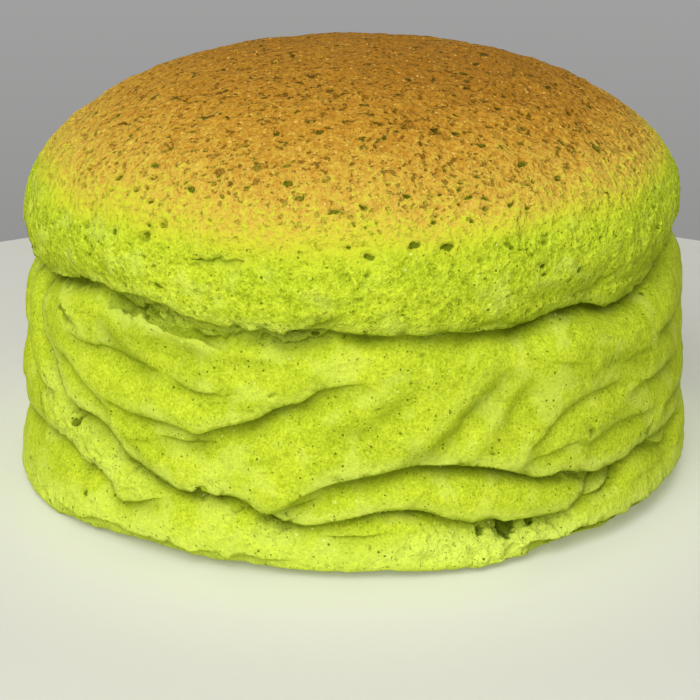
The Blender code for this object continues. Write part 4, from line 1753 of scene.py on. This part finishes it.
    def pores(self, ground: SpongeGround) -> Wires:
        """Grade the pores and pits by kind.

        Args:
            ground: What the finish works from.

        Returns:
            A grade from 0 to 1 for each kind of pore.
        """
        make, where, apart, grades = ground.make, ground.where, ground.apart, ground.grades
        browning, crowding = grades["browning"], grades["crowding"]
        crowd = (crowding - 0.5) * 0.08
        clots = make.noise(make.bent(apart, 0.5, 0.8), 0.58, 4.0, 0.62) + crowd
        scraps = make.noise(apart, 1.2, 3.0, 0.6) + crowd
        blots = make.noise(make.bent(where, 0.5, 1.2), 0.42, 3.0, 0.60) + browning * 0.03
        specks = make.bent(make.places((5.0, 9.0, 2.0)), 1.5, 0.35)
        pinholes = make.holes(specks, 0.75, 0.34, 0.17) * crowding.ramp(0.26, 0.48)
        tiny = make.holes(specks, 1.5, 0.30, 0.21) * crowding.ramp(0.72, 0.46)
        flecks = make.holes(make.bent(apart, 1.4, 0.9), 0.95, 0.68, 0.26) * crowding.ramp(0.42, 0.58)
        bare = 1.0 - grades["crust"]
        loose = (grades["torn"] + grades["foot"]).clamped()
        return {
            "pits": clots.ramp(0.605, 0.66).most(scraps.ramp(0.635, 0.70) * 0.8) * grades["open"],
            "blots": blots.ramp(0.64, 0.69) * browning.ramp(0.25, 0.65),
            "small": make.holes(make.bent(where, 0.9, 1.3), 0.62, 0.66, 0.32) * grades["open"],
            "crumb": make.holes(make.bent(where, 1.2, 1.3), 0.92, 0.66, 0.30) * loose,
            "pinholes": pinholes.most(tiny * 0.8) * bare,
            "flecks": flecks * bare,
            "modelled": (grades["pore"] + grades["grain"] * 0.9 + grades["speck"] * 0.5).ramp(0.34, 0.95),
        }

    def pitted(self, ground: SpongeGround, skin: Wire, pores: Wires) -> Wire:
        """Darken the pores and pits, partly with their own colour and partly with painted shade
        in their hollows, and lighten the flecks between them.

        Args:
            ground: What the finish works from.
            skin: The skin's colour without them.
            pores: The pores by kind.

        Returns:
            The skin's colour.
        """
        make, browning = ground.make, ground.grades["browning"]
        dark = make.mix(browning.ramp(0.3, 0.9), self.pore_green, self.pore_brown)
        faint = make.mix(browning.ramp(0.0, 0.5), self.olive, self.smudge)
        brown = browning.ramp(0.15, 0.65)
        layers = (
            (pores["flecks"] * 0.5, self.fleck),
            (pores["pits"] * (0.30 + 0.48 * brown), faint),
            (pores["blots"] * 0.85, dark),
            (pores["small"] * (0.40 + 0.40 * brown), faint),
            (pores["crumb"] * 0.50, self.olive),
            # The mesh's own pores are painted dark too: painted shade in hollows the mesh already has.
            (pores["modelled"] * (0.84 + 0.10 * ground.grades["crust"]), dark),
            (pores["pinholes"] * 0.80, self.pore_green),
        )
        return make.covered(skin, layers)

    def relief(self, grades: Wires, pores: Wires) -> Wire:
        """Give the height of the finest bumps and pits, in millimetres.

        Args:
            grades: The marks, and the finish's own noises and grades.
            pores: The pores by kind.

        Returns:
            The height.
        """
        crown, crust, coarse = grades["crown"], grades["crust"], grades["coarse"]
        height = grades["lumps"] * (0.30 + crown * 0.55 + crust * 0.15 + coarse * 0.7)
        height = height + grades["speck"] * (0.16 + crown * 0.28 + crust * 0.28 + coarse * 0.3)
        height = height + grades["grain"] * 0.14 - pores["pits"] * (0.15 + crust * 0.2)
        return height - pores["small"] * 0.35 - pores["crumb"] * 0.2 - pores["pinholes"] * 0.3


# ---------------------------------------------------------------- stage


@dataclass(frozen=True)
class Table:
    """A round pale table, on which the cake stands.

    Sizes in metres. The sheen is a painted pool of light round the cake's foot, and the
    gleam a ring beside the foot that glows to lift the shadow there; their outer and inner
    radii are in millimetres.
    """

    radius: float
    thickness: float = 20.0 * MM
    edge: float = 2.0 * MM
    colour: Colour = (0.64, 0.635, 0.575)
    shaded: Colour = (0.62, 0.616, 0.558)
    # Colour of the painted pool of light round the cake.
    sheen: Colour = (0.74, 0.75, 0.65)
    sheen_from: float = 118.0
    sheen_to: float = 72.0
    # Base colour under the glowing ring, darker to make up for its glow.
    beside: Colour = (0.57, 0.58, 0.49)
    gleam: Colour = (0.17, 0.175, 0.13)
    gleam_from: float = 94.0
    gleam_to: float = 79.0

    def build(self) -> bpy.types.Object:
        """Make the table top.

        Returns:
            The table.
        """
        bpy.ops.mesh.primitive_cylinder_add(vertices=256, radius=self.radius, depth=self.thickness)
        table = bpy.context.active_object
        table.name = "table"
        table.location.z = -0.5 * self.thickness
        bevel = table.modifiers.new("Edge", "BEVEL")
        bevel.width = self.edge
        bevel.segments = 4
        table.data.materials.append(self.finish())
        return table

    def finish(self) -> bpy.types.Material:
        """Dress the top, with a painted pool of light round the cake and a glowing ring beside its foot.

        Returns:
            The material.
        """
        make = Dresser("table_top")
        where = make.places()
        cloud = make.noise(where, 0.009, 3.0)
        away = make.node("ShaderNodeVectorMath", {"operation": "LENGTH"}, (where,), "Value")
        shade = make.mix(cloud, self.shaded, self.colour)
        # Painted pool of light round the cake.
        shade = make.mix(away.ramp(self.sheen_from, self.sheen_to), shade, self.sheen)
        # A ring beside the foot glows, though it is no lamp, and has a darker base colour: together they lift
        # the shadow there.
        close = away.ramp(self.gleam_from, self.gleam_to)
        return make.dress(
            {
                "Base Color": make.mix(close, shade, self.beside),
                "Roughness": 0.55 + (cloud - 0.5) * 0.1,
                "Specular IOR Level": 0.3,
                "Emission Color": make.mix(close, (0.0, 0.0, 0.0), self.gleam),
                "Emission Strength": 1.0,
            }
        )


@dataclass(frozen=True)
class SoftLamp:
    """A square soft lamp. Lengths in metres, power in watts."""

    name: str
    place: Vector3
    power: float
    size: float
    tint: Colour = (1.0, 1.0, 1.0)

    def hang(self, aim: Vector) -> bpy.types.Object:
        """Make the lamp and turn it to a point.

        Args:
            aim: The point.

        Returns:
            The lamp.
        """
        light = bpy.data.lights.new(self.name, "AREA")
        light.energy = self.power
        light.size = self.size
        light.color = self.tint
        lamp = bpy.data.objects.new(self.name, light)
        lamp.location = self.place
        lamp.rotation_euler = (aim - Vector(self.place)).to_track_quat("-Z", "Y").to_euler()
        bpy.context.scene.collection.objects.link(lamp)
        return lamp


@dataclass(frozen=True)
class Studio:
    """Plain soft studio light and a grey room, which is darker low down."""

    lamps: tuple[SoftLamp, ...] = (
        SoftLamp("key", (-0.30, -0.87, 0.98), 10.5, 0.85, (1.0, 0.99, 0.97)),
        SoftLamp("fill", (-0.15, -1.05, 0.42), 4.8, 0.70),
        SoftLamp("top", (0.00, -0.15, 1.15), 3.5, 0.90),
    )
    wall_low: Colour = (0.285, 0.285, 0.28)
    wall_high: Colour = (0.36, 0.36, 0.358)
    grade_from: float = -0.28
    grade_to: float = -0.10

    def build(self, aim: Vector) -> None:
        """Hang the lamps and set the room's colour.

        Args:
            aim: The point that the lamps are turned to.
        """
        for lamp in self.lamps:
            lamp.hang(aim)
        world = bpy.data.worlds.new("room")
        bpy.context.scene.world = world
        world.use_nodes = True
        make = NodeBench(world.node_tree)
        around = make.node("ShaderNodeTexCoord", result="Generated")
        level = make.node("ShaderNodeSeparateXYZ", None, (around,), "Z")
        limits = {"Value": level, "From Min": self.grade_from, "From Max": self.grade_to}
        grade = make.node("ShaderNodeMapRange", None, limits, "Result")
        wall = make.mix(grade, self.wall_low, self.wall_high)
        glow = make.node("ShaderNodeBackground", None, {"Color": wall}, "Background")
        make.node("ShaderNodeOutputWorld", None, {"Surface": glow})
        bpy.context.scene.view_settings.view_transform = "Standard"


@dataclass(frozen=True)
class Viewpoint:
    """The camera, placed by the cake's base radius. Angle in degrees."""

    base_radius: float
    distance: float = 5.0
    elevation: float = 18.88
    aim_height: float = 0.272
    aim_side: float = -0.0165
    lens: float = 84.6

    def build(self) -> bpy.types.Object:
        """Set up the camera.

        Returns:
            The camera.
        """
        tilt = math.radians(self.elevation)
        camera = bpy.data.objects.new("camera", bpy.data.cameras.new("camera"))
        camera.data.lens = self.lens
        camera.data.sensor_width = 36.0
        camera.data.clip_start = 0.01
        camera.location = self.base_radius * Vector(
            (
                self.aim_side,
                -self.distance * math.cos(tilt),
                self.aim_height + self.distance * math.sin(tilt),
            )
        )
        camera.rotation_euler = (math.pi / 2.0 - tilt, 0.0, 0.0)
        bpy.context.scene.collection.objects.link(camera)
        bpy.context.scene.camera = camera
        return camera


def main() -> None:
    """Build the cake, its table, the light and the camera."""
    logging.basicConfig(level=logging.INFO, format="%(message)s")
    low, high = (Vector(corner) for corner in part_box(CAKE_NODE))
    outline = Outline(height=high.z - low.z)
    Viewpoint(outline.base_radius).build()
    cake = CakeBody(outline).build(low, high)
    cake.data.materials.append(SpongeFinish().material())
    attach(cake, BODY)
    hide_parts(CAKE_NODE)
    LOG.info("%s: %d triangles", cake.name, len(cake.data.polygons))
    table = Table(TABLE_SHARE * outline.base_radius).build()
    LOG.info("%s: stage", table.name)
    Studio().build(Vector((0.0, 0.0, 0.5 * outline.height)))


if __name__ == "__main__":
    main()
